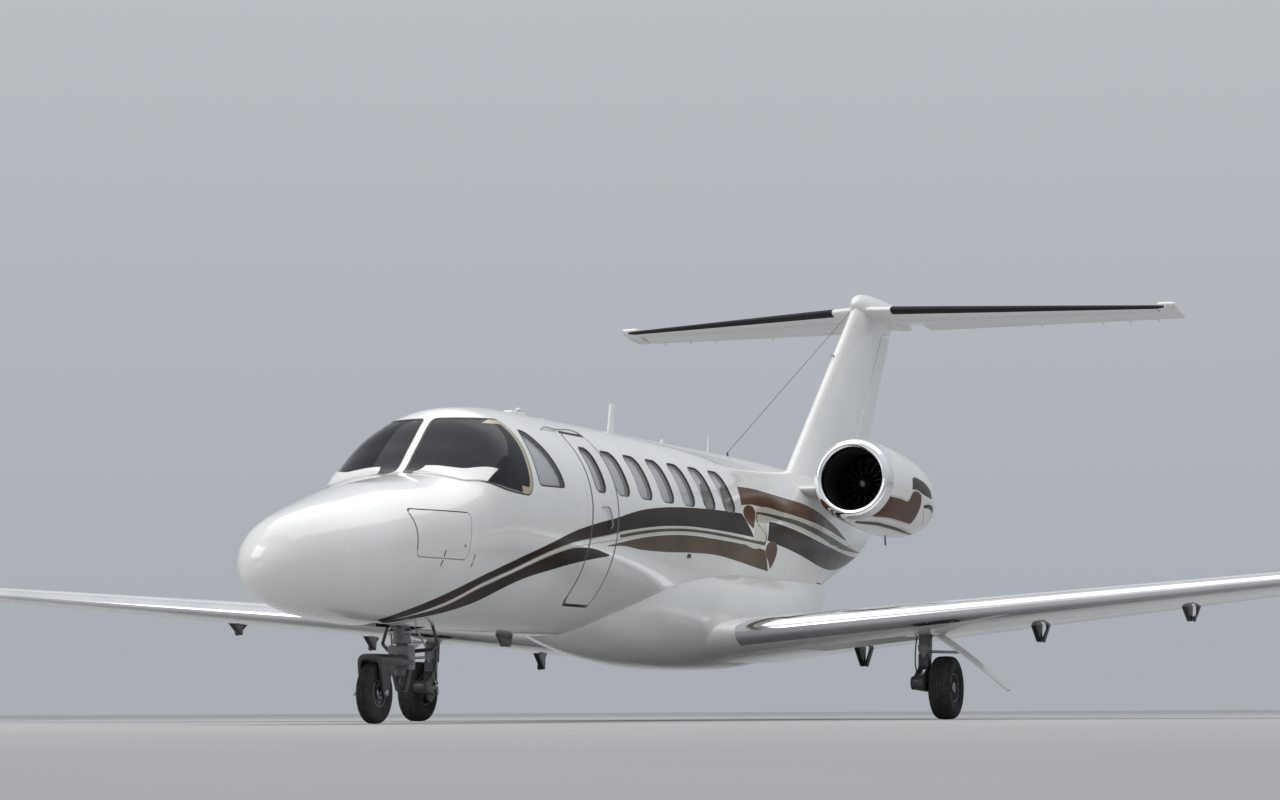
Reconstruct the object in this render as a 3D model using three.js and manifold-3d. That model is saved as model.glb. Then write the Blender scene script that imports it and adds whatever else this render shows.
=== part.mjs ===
// A light twin-engine business jet, parked on its gear with the cabin door shut.
// Millimetres, +Z up, nose towards -Y, the aircraft's left wing towards +X.
// A "station" is the distance aft of the nose tip along the fuselage.
import * as THREE from "three";
import * as BufferGeometryUtils from "three/addons/utils/BufferGeometryUtils.js";
import Module from "manifold-3d";

const wasm = await Module();
wasm.setup();

// Driving dimensions
const LENGTH = 15500;
const HALF_SPAN = 8130;
const GAP = 0.3;
const SWING_GAP = 8;
const SKIN = 80;
const NOSE_JOIN = 550;
const COCKPIT_START = 2150;
const CABIN_START = 4000;
const CABIN_END = 8900;
const TAIL_CONE_START = 12300;
const TAIL_END = 13900;
const FLOOR_Z = 975;
const DIHEDRAL = 0.0795;
const WING_ROOT_Z = 700;
const NOSE_AXLE = { station: 1824, z: 228, end: 112 };
const NOSE_TYRE = { radius: 228, width: 112 };
const MAIN_AXLE = { station: 7964, x: 2590, z: 279 };
const MAIN_TYRE = { radius: 279, width: 197 };
const LEG_X = 2420;
const WINDOW_PITCH = 503;
const FIRST_WINDOW = 4820;
const WINDOW_COUNT = 6;
const ENGINE = { x: 1180, inlet: 9620, z: 2288, tilt: 0.085 };
const STAB_Z = 4390;
const ELEVATOR_DROOP = 0.17;

const NOSE_CAP = 4;
const MIDDLE = (NOSE_CAP + LENGTH) / 2;

const at = (station) => station - MIDDLE;

// Materials
const paint = (color, roughness, metalness) => new THREE.MeshStandardMaterial({
  color, roughness, metalness,
});
const WHITE = () => paint(0xf2f2ee, 0.25, 0.0);
const POLISHED = () => paint(0xd8dade, 0.15, 1.0);
const GLASS = () => paint(0x20262c, 0.05, 0.0);
const RUBBER = () => paint(0x1a1a1b, 0.85, 0.0);
const GEAR_METAL = () => paint(0xb9bdc0, 0.45, 0.6);
const DARK_METAL = () => paint(0x4a4d50, 0.4, 0.8);
const LEATHER = () => paint(0xb8a387, 0.6, 0.0);
const PANEL = () => paint(0x2b2c2e, 0.7, 0.0);
const CARPET = () => paint(0x7a6b58, 0.95, 0.0);

// Solids
const Vec = (x, y, z) => new THREE.Vector3(x, y, z);

function toSolid(geometry) {
  const plain = geometry.clone();
  plain.deleteAttribute("normal");
  plain.deleteAttribute("uv");
  const merged = BufferGeometryUtils.mergeVertices(plain, 1e-4);
  const mesh = new wasm.Mesh({
    numProp: 3,
    vertProperties: Float32Array.from(merged.attributes.position.array),
    triVerts: Uint32Array.from(merged.index.array),
  });
  return new wasm.Manifold(mesh);
}

function toGeometry(solid) {
  const mesh = solid.getMesh();
  const geometry = new THREE.BufferGeometry();
  geometry.setAttribute("position", new THREE.BufferAttribute(mesh.vertProperties, 3));
  geometry.setIndex(new THREE.BufferAttribute(mesh.triVerts, 1));
  return geometry;
}

const union = (...solids) => solids.reduce((a, b) => a.add(b));
const cut = (solid, ...tools) => tools.reduce((a, b) => a.subtract(b), solid);

// Joins rings of equal length into one closed body, with each end filled.
function loft(rings) {
  const count = rings[0].length;
  const positions = rings.flat().flatMap((p) => [p.x, p.y, p.z]);
  const index = [];
  for (let r = 0; r + 1 < rings.length; r += 1) {
    for (let i = 0; i < count; i += 1) {
      const a = r * count + i;
      const b = r * count + ((i + 1) % count);
      index.push(a, b, b + count, a, b + count, a + count);
    }
  }
  const capRing = (start, flip) => {
    const centre = positions.length / 3;
    const middle = Vec(0, 0, 0);
    for (let i = 0; i < count; i += 1) {
      middle.add(Vec(...positions.slice((start + i) * 3, (start + i) * 3 + 3)));
    }
    middle.divideScalar(count);
    positions.push(middle.x, middle.y, middle.z);
    for (let i = 0; i < count; i += 1) {
      const a = start + i;
      const b = start + ((i + 1) % count);
      index.push(...(flip ? [centre, b, a] : [centre, a, b]));
    }
  };
  capRing(0, true);
  capRing((rings.length - 1) * count, false);
  const geometry = new THREE.BufferGeometry();
  geometry.setAttribute("position", new THREE.BufferAttribute(new Float32Array(positions), 3));
  geometry.setIndex(facesOut(positions, index) ? index : index.reverse());
  return toSolid(geometry);
}

function facesOut(positions, index) {
  let volume = 0;
  const point = (i) => Vec(positions[3 * i], positions[3 * i + 1], positions[3 * i + 2]);
  for (let t = 0; t < index.length; t += 3) {
    volume += point(index[t]).dot(point(index[t + 1]).cross(point(index[t + 2])));
  }
  return volume > 0;
}

function box(x0, x1, y0, y1, z0, z1) {
  const geometry = new THREE.BoxGeometry(x1 - x0, y1 - y0, z1 - z0);
  geometry.translate((x0 + x1) / 2, (y0 + y1) / 2, (z0 + z1) / 2);
  return toSolid(geometry);
}

// A cylinder between two points.
function rod(from, to, radius, sides = 14, endRadius = radius) {
  const length = from.distanceTo(to);
  const geometry = new THREE.CylinderGeometry(endRadius, radius, length, sides);
  const turn = new THREE.Quaternion().setFromUnitVectors(Vec(0, 1, 0), to.clone().sub(from).normalize());
  geometry.applyQuaternion(turn);
  geometry.translate((from.x + to.x) / 2, (from.y + to.y) / 2, (from.z + to.z) / 2);
  return toSolid(geometry);
}

// A closed profile of [radius, along] pairs turned about an axis that starts at a point.
function turned(profile, origin, direction, sides) {
  const points = profile.map(([r, h]) => new THREE.Vector2(r, h));
  const geometry = new THREE.LatheGeometry(points, sides);
  const turn = new THREE.Quaternion().setFromUnitVectors(Vec(0, 1, 0), direction.clone().normalize());
  geometry.applyQuaternion(turn);
  geometry.translate(origin.x, origin.y, origin.z);
  return closed(geometry);
}

function closed(geometry) {
  const plain = geometry.clone();
  plain.deleteAttribute("normal");
  plain.deleteAttribute("uv");
  const merged = BufferGeometryUtils.mergeVertices(plain, 1e-3);
  const source = Array.from(merged.index.array);
  const index = [];
  for (let t = 0; t < source.length; t += 3) {
    const [a, b, c] = source.slice(t, t + 3);
    if (a !== b && b !== c && a !== c) {
      index.push(a, b, c);
    }
  }
  const positions = Array.from(merged.attributes.position.array);
  merged.setIndex(facesOut(positions, index) ? index : index.reverse());
  return toSolid(merged);
}

// An outline drawn in one plane and pushed along the third axis.
// plane "yz" runs along X, "xz" along Y, "xy" along Z.
function plate(plane, outline, low, high) {
  const place = {
    yz: (u, v, w) => Vec(w, u, v),
    xz: (u, v, w) => Vec(u, w, v),
    xy: (u, v, w) => Vec(u, v, w),
  }[plane];
  const ring = (w) => outline.map(([u, v]) => place(u, v, w));
  return extrudeRing(ring(low), ring(high), outline);
}

function extrudeRing(lower, upper, outline) {
  const count = outline.length;
  const faces = THREE.ShapeUtils.triangulateShape(outline.map(([u, v]) => new THREE.Vector2(u, v)), []);
  const positions = [...lower, ...upper].flatMap((p) => [p.x, p.y, p.z]);
  const clockwise = THREE.ShapeUtils.isClockWise(outline.map(([u, v]) => new THREE.Vector2(u, v)));
  const index = [];
  for (const [a, b, c] of faces) {
    index.push(a, c, b, a + count, b + count, c + count);
  }
  for (let i = 0; i < count; i += 1) {
    const j = (i + 1) % count;
    const forward = [i, j, j + count, i, j + count, i + count];
    index.push(...(clockwise ? forward.reverse() : forward));
  }
  const geometry = new THREE.BufferGeometry();
  geometry.setAttribute("position", new THREE.BufferAttribute(new Float32Array(positions), 3));
  geometry.setIndex(facesOut(positions, index) ? index : index.reverse());
  return toSolid(geometry);
}

// The mirror image across the aircraft's centre plane.
function mirrored(solid) {
  const geometry = toGeometry(solid);
  const positions = Array.from(geometry.attributes.position.array);
  for (let i = 0; i < positions.length; i += 3) {
    positions[i] = -positions[i];
  }
  const index = Array.from(geometry.index.array).reverse();
  geometry.setAttribute("position", new THREE.BufferAttribute(new Float32Array(positions), 3));
  geometry.setIndex(index);
  return toSolid(geometry);
}

const aircraft = new THREE.Group();

function add(name, solid, material) {
  const mesh = new THREE.Mesh(toGeometry(solid), material);
  mesh.name = name;
  aircraft.add(mesh);
  return solid;
}

// Adds a left piece and its mirror image, each cut by the same middle pieces.
function addPair(name, solid, material, ...tools) {
  add(`${name}_left`, cut(solid, ...tools), material());
  add(`${name}_right`, cut(mirrored(solid), ...tools), material());
}

// Fuselage sections
// Columns: station, half width, top z, z of the widest point, bottom z,
// fullness of the upper half (2 is an ellipse)
const SECTIONS = [
  [0, 0, 1125, 1125, 1125, 2],
  [60, 160, 1270, 1118, 990, 2],
  [250, 300, 1430, 1135, 868, 2],
  [600, 420, 1550, 1190, 788, 2],
  [1000, 522, 1650, 1270, 748, 2],
  [1550, 640, 1775, 1375, 722, 2.1],
  [1950, 702, 1850, 1450, 715, 2.2],
  [2225, 735, 1905, 1520, 712, 2.5],
  [2480, 760, 2115, 1590, 711, 2.6],
  [2760, 783, 2350, 1645, 710, 2.4],
  [3050, 800, 2462, 1675, 710, 2.15],
  [3700, 815, 2505, 1690, 710, 2],
  [8500, 815, 2505, 1690, 710, 2],
  [9500, 785, 2500, 1715, 850, 2],
  [10500, 700, 2485, 1780, 1060, 2],
  [11500, 575, 2460, 1870, 1310, 2],
  [12500, 425, 2425, 1975, 1570, 2],
  [13200, 270, 2390, 2080, 1810, 2],
  [13900, 110, 2335, 2180, 2050, 2],
];
const AROUND = 28;

// A smooth curve through one column that never overshoots its points.
// The nose is round, so the curve runs on the root of the station.
function column(index, station) {
  const xs = SECTIONS.map((row) => Math.sqrt(row[0]));
  const ys = SECTIONS.map((row) => row[index]);
  const x = Math.min(Math.max(Math.sqrt(Math.max(station, 0)), xs[0]), xs[xs.length - 1]);
  let k = 0;
  while (k < xs.length - 2 && x > xs[k + 1]) {
    k += 1;
  }
  const slope = (i) => (ys[i + 1] - ys[i]) / (xs[i + 1] - xs[i]);
  const tangent = (i) => {
    if (i === 0) {
      return slope(0);
    }
    if (i === xs.length - 1) {
      return slope(i - 1);
    }
    const before = slope(i - 1);
    const after = slope(i);
    return before * after <= 0 ? 0 : 2 / (1 / before + 1 / after);
  };
  const h = xs[k + 1] - xs[k];
  const t = (x - xs[k]) / h;
  const t2 = t * t;
  const t3 = t2 * t;
  return (2 * t3 - 3 * t2 + 1) * ys[k] + (t3 - 2 * t2 + t) * h * tangent(k)
    + (-2 * t3 + 3 * t2) * ys[k + 1] + (t3 - t2) * h * tangent(k + 1);
}

// A point of the skin at an angle up from the left side, moved out by an offset.
function skinPoint(station, angle, offset = 0) {
  const [width, top, middle, bottom, fullness] = [1, 2, 3, 4, 5].map((c) => column(c, station));
  const c = Math.cos(angle);
  const s = Math.sin(angle);
  const power = s > 0 ? 2 / fullness : 1;
  const x = (width + offset) * Math.sign(c) * Math.abs(c) ** power;
  const z = s > 0 ? (top - middle + offset) * s ** power : (middle - bottom + offset) * s;
  return Vec(x, at(station), middle + z);
}

function skinRing(station, offset) {
  const ring = [];
  for (let i = 0; i < AROUND; i += 1) {
    ring.push(skinPoint(station, (2 * Math.PI * i) / AROUND, offset));
  }
  return ring;
}

// The stations at which every fuselage loft has a ring, so that lofts of one skin match each other.
const RING_STATIONS = [
  NOSE_CAP, 70, 200, 400, 800, 1150, 1550, 1900, 2225, 2350, 2480, 2620, 2760, 2900, 3050, 3300, 3700,
  8500, 9500, 10500, 11500, 12500, 13200, TAIL_END,
];

const INNER_STATIONS = [
  NOSE_CAP, 250, 800, 1550, 2225, 2480, 2760, 3050, 3700, 8500, 9500, 10500, 12500, TAIL_END,
];
const skins = new Map();

function whole(offset) {
  if (!skins.has(offset)) {
    const stations = offset <= -SKIN ? INNER_STATIONS : RING_STATIONS;
    skins.set(offset, loft(stations.map((s) => skinRing(s, offset))));
  }
  return skins.get(offset);
}

// The fuselage between two stations, with its skin moved out by an offset.
function skin(from, to, offset = 0) {
  return whole(offset).intersect(box(-1500, 1500, at(from), at(to), 0, 4000));
}

// Belly fairing under the wing
// Columns: station, half width, z of the middle, bottom z
const FAIRING = [
  [4850, 330, 1000, 735],
  [5400, 510, 1000, 655],
  [6000, 660, 1000, 575],
  [6600, 755, 1000, 512],
  [7200, 805, 1000, 470],
  [8200, 830, 1000, 455],
  [8900, 815, 1000, 475],
  [9700, 740, 1050, 580],
  [10500, 580, 1150, 800],
  [11100, 420, 1250, 1060],
];

function fairingRing([station, width, middle, bottom], offset = 0) {
  const ring = [];
  const around = 24;
  for (let i = 0; i < around; i += 1) {
    const angle = (2 * Math.PI * i) / around;
    const c = Math.cos(angle);
    const s = Math.sin(angle);
    const power = 0.8;
    const x = (width + offset) * Math.sign(c) * Math.abs(c) ** power;
    const z = (middle - bottom + offset) * Math.sign(s) * Math.abs(s) ** power;
    ring.push(Vec(x, at(station), middle + z));
  }
  return ring;
}

const fairing = (offset = 0) => loft(FAIRING.map((row) => fairingRing(row, offset)));

// Aerofoils
const AIRFOIL_STEPS = [0, 0.012, 0.05, 0.12, 0.25, 0.4, 0.55, 0.7, 0.85, 1];
const TRAILING_HALF = 0.0025;

function thicknessAt(u, thickness) {
  const t = 5 * thickness;
  const tail = 0.2969 * Math.sqrt(u) - 0.126 * u - 0.3516 * u ** 2 + 0.2843 * u ** 3 - 0.1036 * u ** 4;
  return t * tail + TRAILING_HALF * u;
}

// The outline of an aerofoil as [along chord, up] pairs in parts of the chord.
// The camber is its highest rise.
function airfoil(thickness, camber) {
  const rise = (u) => camber * 4 * u * (1 - u);
  const upper = AIRFOIL_STEPS.map((u) => [u, rise(u) + thicknessAt(u, thickness)]);
  const lower = AIRFOIL_STEPS.slice(1).reverse().map((u) => [u, rise(u) - thicknessAt(u, thickness)]);
  return [...upper, ...lower];
}

// Wing sections
// Columns: x, leading edge station, chord, leading edge z, thickness, drop of the trailing edge
const WING_CAMBER = 0.015;
const wingZ = (x) => WING_ROOT_Z + DIHEDRAL * x;
const WING = [
  [560, 6820, 2560, wingZ(560), 0.14, 0.078],
  [930, 7060, 2290, wingZ(930), 0.14, 0.078],
  [7900, 7420, 960, wingZ(7900), 0.12, 0.032],
  [8090, 7530, 790, wingZ(8090) + 8, 0.08, 0.032],
  [HALF_SPAN, 7680, 560, wingZ(HALF_SPAN) + 12, 0.03, 0.032],
];

function wingRow(x) {
  let k = 0;
  while (k < WING.length - 2 && x > WING[k + 1][0]) {
    k += 1;
  }
  const t = (x - WING[k][0]) / (WING[k + 1][0] - WING[k][0]);
  return WING[k].map((value, i) => value + t * (WING[k + 1][i] - value));
}

function wingRing([x, leading, chord, z, thickness, drop]) {
  const outline = airfoil(thickness, WING_CAMBER);
  return outline.map(([u, v]) => Vec(x, at(leading + u * chord), z + (v - drop * u) * chord));
}

const chordStation = (x, part) => wingRow(x)[1] + part * wingRow(x)[2];

// A region seen from above between two spanwise places and two parts of the chord.
function chordRegion(x0, x1, part0, part1, shift0 = 0, shift1 = 0, lowZ = -500, highZ = 3000) {
  const outline = [
    [x0, at(chordStation(x0, part0) + shift0)],
    [x1, at(chordStation(x1, part0) + shift0)],
    [x1, at(chordStation(x1, part1) + shift1)],
    [x0, at(chordStation(x0, part1) + shift1)],
  ];
  return plate("xy", outline, lowZ, highZ);
}

const LE_PART = 0.075;
const FLAP = { x0: 1010, x1: 4960, part: 0.76 };
const AILERON = { x0: 4990, x1: 7700, part: 0.79 };
const HINGE_IN = { x: 1600, station: 8640, z: 495 };
const HINGE_OUT = { x: 4710, station: 8345, z: 857 };
const FLAP_GAP = 14;
const AILERON_GAP = 20;

function hingePoint(x) {
  const t = (x - HINGE_IN.x) / (HINGE_OUT.x - HINGE_IN.x);
  return {
    x,
    station: HINGE_IN.station + t * (HINGE_OUT.station - HINGE_IN.station),
    z: HINGE_IN.z + t * (HINGE_OUT.z - HINGE_IN.z),
  };
}

const BRACKET_XS = [1600, 3310, 4700];
const BRACKET = { thick: 44, ahead: 330, behind: 45, tip: 22 };

// A triangular plate under the wing whose lowest corner carries the flap hinge.
function bracket(x) {
  const h = hingePoint(x);
  const under = wingRow(x)[3] - 40;
  const outline = [
    [at(h.station - BRACKET.ahead), under],
    [at(h.station - BRACKET.tip), h.z - 8],
    [at(h.station + BRACKET.tip), h.z - 8],
    [at(h.station + BRACKET.behind), under],
  ];
  return plate("yz", outline, x - BRACKET.thick / 2, x + BRACKET.thick / 2);
}

function flapArm(x) {
  const h = hingePoint(x);
  const top = wingRow(x)[3] - 60;
  const leading = chordStation(x, FLAP.part) + FLAP_GAP;
  const side = x + BRACKET.thick / 2 + 8;
  const outline = [
    [at(h.station - BRACKET.tip), h.z - 8],
    [at(h.station + BRACKET.tip), h.z - 20],
    [at(leading + 200), top],
    [at(leading + 12), top + 10],
    [at(leading + 2), top - 105],
    [at(h.station - BRACKET.tip), h.z + 30],
  ];
  return plate("yz", outline, side, side + 16);
}

// The well that each main leg folds into
const WELL = { half: 110, from: 7780, to: 8110 };
const wellRoof = wingZ(LEG_X) + 60;

function makeWing() {
  const solid = loft(WING.map(wingRing));
  const body = fairing(GAP);
  const hull = whole(GAP);
  const edgeRegion = (shift) => chordRegion(930, 7900, -0.2, LE_PART, -400, shift);
  const flapRegion = (shift) => chordRegion(FLAP.x0, FLAP.x1, FLAP.part, 1.2, shift, 300);
  const aileronRegion = (shift) => chordRegion(AILERON.x0, AILERON.x1, AILERON.part, 1.2, shift, 300);
  const wide = chordRegion(FLAP.x0 - 8, AILERON.x0, FLAP.part, 1.2, 0, 300);
  const wideOut = chordRegion(AILERON.x0 - 1, AILERON.x1 + 10, AILERON.part, 1.2, 0, 300);
  const legWell = box(LEG_X - WELL.half, LEG_X + WELL.half, at(WELL.from), at(WELL.to), -500, wellRoof);
  const wheelWell = box(LEG_X - 1060, LEG_X - WELL.half + 1, at(7640), at(8290), -500, wingZ(LEG_X) + 20);
  const brackets = BRACKET_XS.map(bracket);
  const panel = cut(solid, edgeRegion(0), wide, wideOut, legWell, wheelWell);
  const wing = union(panel, ...brackets);
  addPair("wing", wing, WHITE, body, hull);
  addPair("leading_edge", solid.intersect(edgeRegion(-GAP)), POLISHED, body);
  const flap = union(solid.intersect(flapRegion(FLAP_GAP)), ...BRACKET_XS.map(flapArm));
  addPair("flap", flap, WHITE, body);
  addPair("aileron", solid.intersect(aileronRegion(AILERON_GAP)), WHITE);
  return solid;
}

// Windows and doors in the fuselage
function windowOutline(centre, low, high, half, corner) {
  return roundedOutline(at(centre), (low + high) / 2, half, (high - low) / 2, corner, 2);
}

function roundedOutline(u, v, halfU, halfV, radius, steps) {
  const points = [];
  const corners = [[1, 1, 0], [-1, 1, 1], [-1, -1, 2], [1, -1, 3]];
  for (const [su, sv, quarter] of corners) {
    for (let i = 0; i <= steps; i += 1) {
      const angle = (quarter + i / steps) * (Math.PI / 2);
      points.push([
        u + su * (halfU - radius) + radius * Math.cos(angle),
        v + sv * (halfV - radius) + radius * Math.sin(angle),
      ]);
    }
  }
  return points;
}

const WINDOW = { low: 1845, high: 2225, half: 155, corner: 85 };
const DOOR = { hingeX: 838, hinge: 4104, front: 4112, back: 4650, low: 945, high: 2335, thick: 60 };
const DOOR_WINDOW = { centre: 4335, half: 120 };
const FAR = 1500;

const sidePlate = (outline, inner = 300) => plate("yz", outline, inner, FAR);

function cabinWindowPrism(i, grow = 0) {
  const centre = FIRST_WINDOW + i * WINDOW_PITCH;
  const corner = WINDOW.corner + grow;
  return sidePlate(windowOutline(centre, WINDOW.low - grow, WINDOW.high + grow, WINDOW.half + grow, corner));
}

// The turned outline that the door's aft edge follows, so that it swings clear of its frame.
function doorSweep(extra) {
  const reach = DOOR.back - DOOR.hinge;
  const low = 850 - extra;
  const high = 2450 + extra;
  const profile = [[0, low]];
  const steps = 12;
  for (let i = 0; i <= steps; i += 1) {
    const z = low + ((high - low) * i) / steps;
    const middle = column(3, DOOR.back);
    const half = z > middle ? column(2, DOOR.back) - middle : middle - column(4, DOOR.back);
    const side = column(1, DOOR.back) * Math.sqrt(Math.max(0, 1 - ((z - middle) / half) ** 2));
    profile.push([Math.hypot(reach, side - DOOR.hingeX) + extra, z]);
  }
  profile.push([0, high]);
  return turned(profile, Vec(DOOR.hingeX, at(DOOR.hinge), 0), Vec(0, 0, 1), 120);
}

function doorRegion(extra) {
  const centre = (DOOR.front + DOOR.back) / 2;
  const past = 100;
  const halfLong = (DOOR.back - DOOR.front) / 2 + extra + past;
  const halfHigh = (DOOR.high - DOOR.low) / 2 + extra;
  const outline = roundedOutline(at(centre) + past, (DOOR.low + DOOR.high) / 2, halfLong, halfHigh, 90, 4);
  return sidePlate(outline, 250).intersect(doorSweep(extra));
}

function skinBand(from, to, outer, inner) {
  return cut(skin(from, to, outer), skin(from - 2, to + 2, inner));
}

// Windshield outline seen from the front on the left side, as [x, z], pushed along Y.
const WINDSHIELD = [
  [34, 1897], [34, 2356], [300, 2354], [950, 2358],
  [950, 1722], [790, 1736], [717, 1800], [550, 1850], [400, 1872], [193, 1886],
];
// The windshield's curved rear edge seen from the left, as [station, z].
const WINDSHIELD_REAR = [
  [2000, 1650], [2000, 2450], [3010, 2450], [3060, 2340], [3055, 2260], [3035, 2128],
  [3008, 2013], [2993, 1900], [2972, 1810], [2935, 1764], [2860, 1730], [2800, 1650],
];
// Side window outline seen from the left, as [station, z].
const COCKPIT_WINDOW = [
  [3105, 1830], [3090, 1950], [3120, 2150], [3205, 2290],
  [3330, 2270], [3470, 2120], [3560, 1950], [3585, 1840],
];

// An outline drawn in towards a middle point, so that its sides move in by about the shrink.
function drawnIn(outline, middle, halfWidth, shrink) {
  const scale = 1 - shrink / halfWidth;
  return outline.map(([u, v]) => [middle[0] + (u - middle[0]) * scale, middle[1] + (v - middle[1]) * scale]);
}

function windshieldPrism(shrink) {
  const front = drawnIn(WINDSHIELD, [430, 2080], 400, shrink);
  const side = WINDSHIELD_REAR.map(([s, z]) => [at(s - shrink), z]);
  return plate("xz", front, at(2000), at(3200)).intersect(sidePlate(side, 0));
}

function cockpitWindowPrism(shrink) {
  const outline = drawnIn(COCKPIT_WINDOW, [3330, 2040], 240, shrink);
  return sidePlate(outline.map(([s, z]) => [at(s), z]), 250);
}

const NOSE_DOOR = { from: 1330, to: 2010, low: 1215, high: 1560, thick: 16 };
const TAIL_DOOR = { from: 10350, to: 11000, low: 1330, high: 1690, thick: 16 };
const SLANT_ROOM = 6;

// A baggage door's outline pushed out sideways. Its front edge may stay back, because the door swings
// slanting forwards.
function panelPrism(door, grow, back = 0) {
  const centre = (door.from + back + door.to) / 2;
  const halfLong = (door.to - door.from - back) / 2 + grow;
  const halfHigh = (door.high - door.low) / 2 + grow;
  const outline = roundedOutline(at(centre), (door.low + door.high) / 2, halfLong, halfHigh, 40 + grow, 3);
  return sidePlate(outline, 100);
}

const GEAR_WELL = { from: 1500, to: 2400, half: 150, top: 925 };

function noseWell() {
  const { from, to, half, top } = GEAR_WELL;
  return box(-half, half, at(from), at(to), 500, top);
}

// The bay behind a baggage door, a little smaller than the door all round.
function bagBay(door, x0, x1, inset) {
  return box(x0, x1, at(door.from + 40), at(door.to - 40), door.low + inset, door.high - inset);
}

// Room along the hinge for the inner edge of a door, which dips inwards as it swings up.
function hingeRoom({ from, to, high }) {
  return box(-900, 900, at(from - SWING_GAP), at(to + SWING_GAP), high - 70, high + SWING_GAP);
}

function makeNose() {
  add("radome", skin(0, NOSE_JOIN - GAP), WHITE());
  const panels = panelPrism(NOSE_DOOR, SWING_GAP);
  const bay = bagBay(NOSE_DOOR, -900, 900, 20);
  const behindDoors = skin(1000, 2300, -NOSE_DOOR.thick - GAP);
  const shellDepth = cut(panels, behindDoors);
  const swingRoom = hingeRoom(NOSE_DOOR).intersect(skin(1000, 2300, -NOSE_DOOR.thick + 3));
  const well = noseWell();
  const hull = skin(NOSE_JOIN, COCKPIT_START - GAP);
  const solid = cut(hull, shellDepth, mirrored(shellDepth), bay, swingRoom, well);
  add("nose_section", solid, WHITE());
  const door = skinBand(1000, 2300, 0, -NOSE_DOOR.thick).intersect(panelPrism(NOSE_DOOR, 0, SLANT_ROOM));
  addPair("nose_baggage_door", door, WHITE);
}

function makeCabin() {
  const shell = skinBand(COCKPIT_START, CABIN_START - GAP, 0, -SKIN);
  const bulkhead = skin(COCKPIT_START, COCKPIT_START + 40, -10);
  const cockpit = cut(union(shell, bulkhead), windshieldPrism(0), mirrored(windshieldPrism(0)),
    cockpitWindowPrism(0), mirrored(cockpitWindowPrism(0)), noseWell());
  add("cockpit_shell", cockpit, WHITE());
  const pane = (prism) => skinBand(2080, 3900, -1, -22).intersect(prism);
  addPair("windshield", pane(windshieldPrism(GAP)), GLASS);
  addPair("cockpit_window", pane(cockpitWindowPrism(GAP)), GLASS);

  const openings = [];
  for (let i = 0; i < WINDOW_COUNT; i += 1) {
    openings.push(cabinWindowPrism(i));
  }
  const bothSides = openings.flatMap((o) => [o, mirrored(o)]);
  const tube = skinBand(CABIN_START, CABIN_END - GAP, 0, -SKIN);
  const rear = skin(CABIN_END - 60, CABIN_END - GAP, -10);
  add("cabin_shell", cut(union(tube, rear), ...bothSides, doorRegion(SWING_GAP)), WHITE());

  const lastWindow = FIRST_WINDOW + (WINDOW_COUNT - 1) * WINDOW_PITCH;
  const stripFrom = FIRST_WINDOW - 230;
  const stripTo = lastWindow + 230;
  const stripRoom = box(300, FAR, at(stripFrom + 10), at(stripTo - 10), WINDOW.low - 35, WINDOW.high + 35);
  const strip = skinBand(stripFrom, stripTo, -SKIN - GAP, -SKIN - 8).intersect(stripRoom);
  const band = skinBand(4200, 8600, -6, -SKIN - 4);
  const panes = [];
  for (let i = 0; i < WINDOW_COUNT; i += 1) {
    panes.push(band.intersect(cabinWindowPrism(i, -GAP)));
  }
  addPair("cabin_windows", union(strip, ...panes), GLASS);

  const doorWindow = (shrink) => {
    const { centre, half } = DOOR_WINDOW;
    return sidePlate(windowOutline(centre, WINDOW.low + shrink, WINDOW.high - shrink, half - shrink, 80));
  };
  const doorHole = doorWindow(0);
  const doorPane = doorWindow(GAP);
  const leaf = skinBand(3900, 4800, 0, -DOOR.thick)
    .intersect(doorRegion(0))
    .intersect(box(250, FAR, at(DOOR.front), at(4900), 800, 2500));
  add("cabin_door", cut(leaf, doorHole), WHITE());
  add("door_window", skinBand(3900, 4800, -6, -DOOR.thick + 4).intersect(doorPane), GLASS());
  const floorFrom = at(COCKPIT_START + 40 + GAP);
  const floorTo = at(CABIN_END - 60 - GAP);
  const plank = box(-900, 900, floorFrom, floorTo, FLOOR_Z - 45, FLOOR_Z);
  add("cabin_floor", plank.intersect(whole(-SKIN - GAP)), CARPET());
}

// Seats: a cushion, a leaning back with a head rest, and a pedestal.
function seat(x, station, facing, scale = 1) {
  const y = at(station);
  const f = facing;
  const w = 225 * scale;
  const cushion = [[-250, 360], [230, 360], [250, 400], [240, 470], [-200, 450], [-250, 430]];
  const back = [[200, 360], [300, 360], [420, 900], [410, 1130], [340, 1130], [320, 900], [215, 470]];
  const foot = [[-160, 0], [160, 0], [120, 365], [-120, 365]];
  const place = (outline, half) => {
    const placed = outline.map(([u, v]) => [y + f * u, FLOOR_Z + v * 0.93]);
    return plate("yz", placed, x - half, x + half);
  };
  return union(place(cushion, w), place(back, w), place(foot, 90));
}

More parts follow.
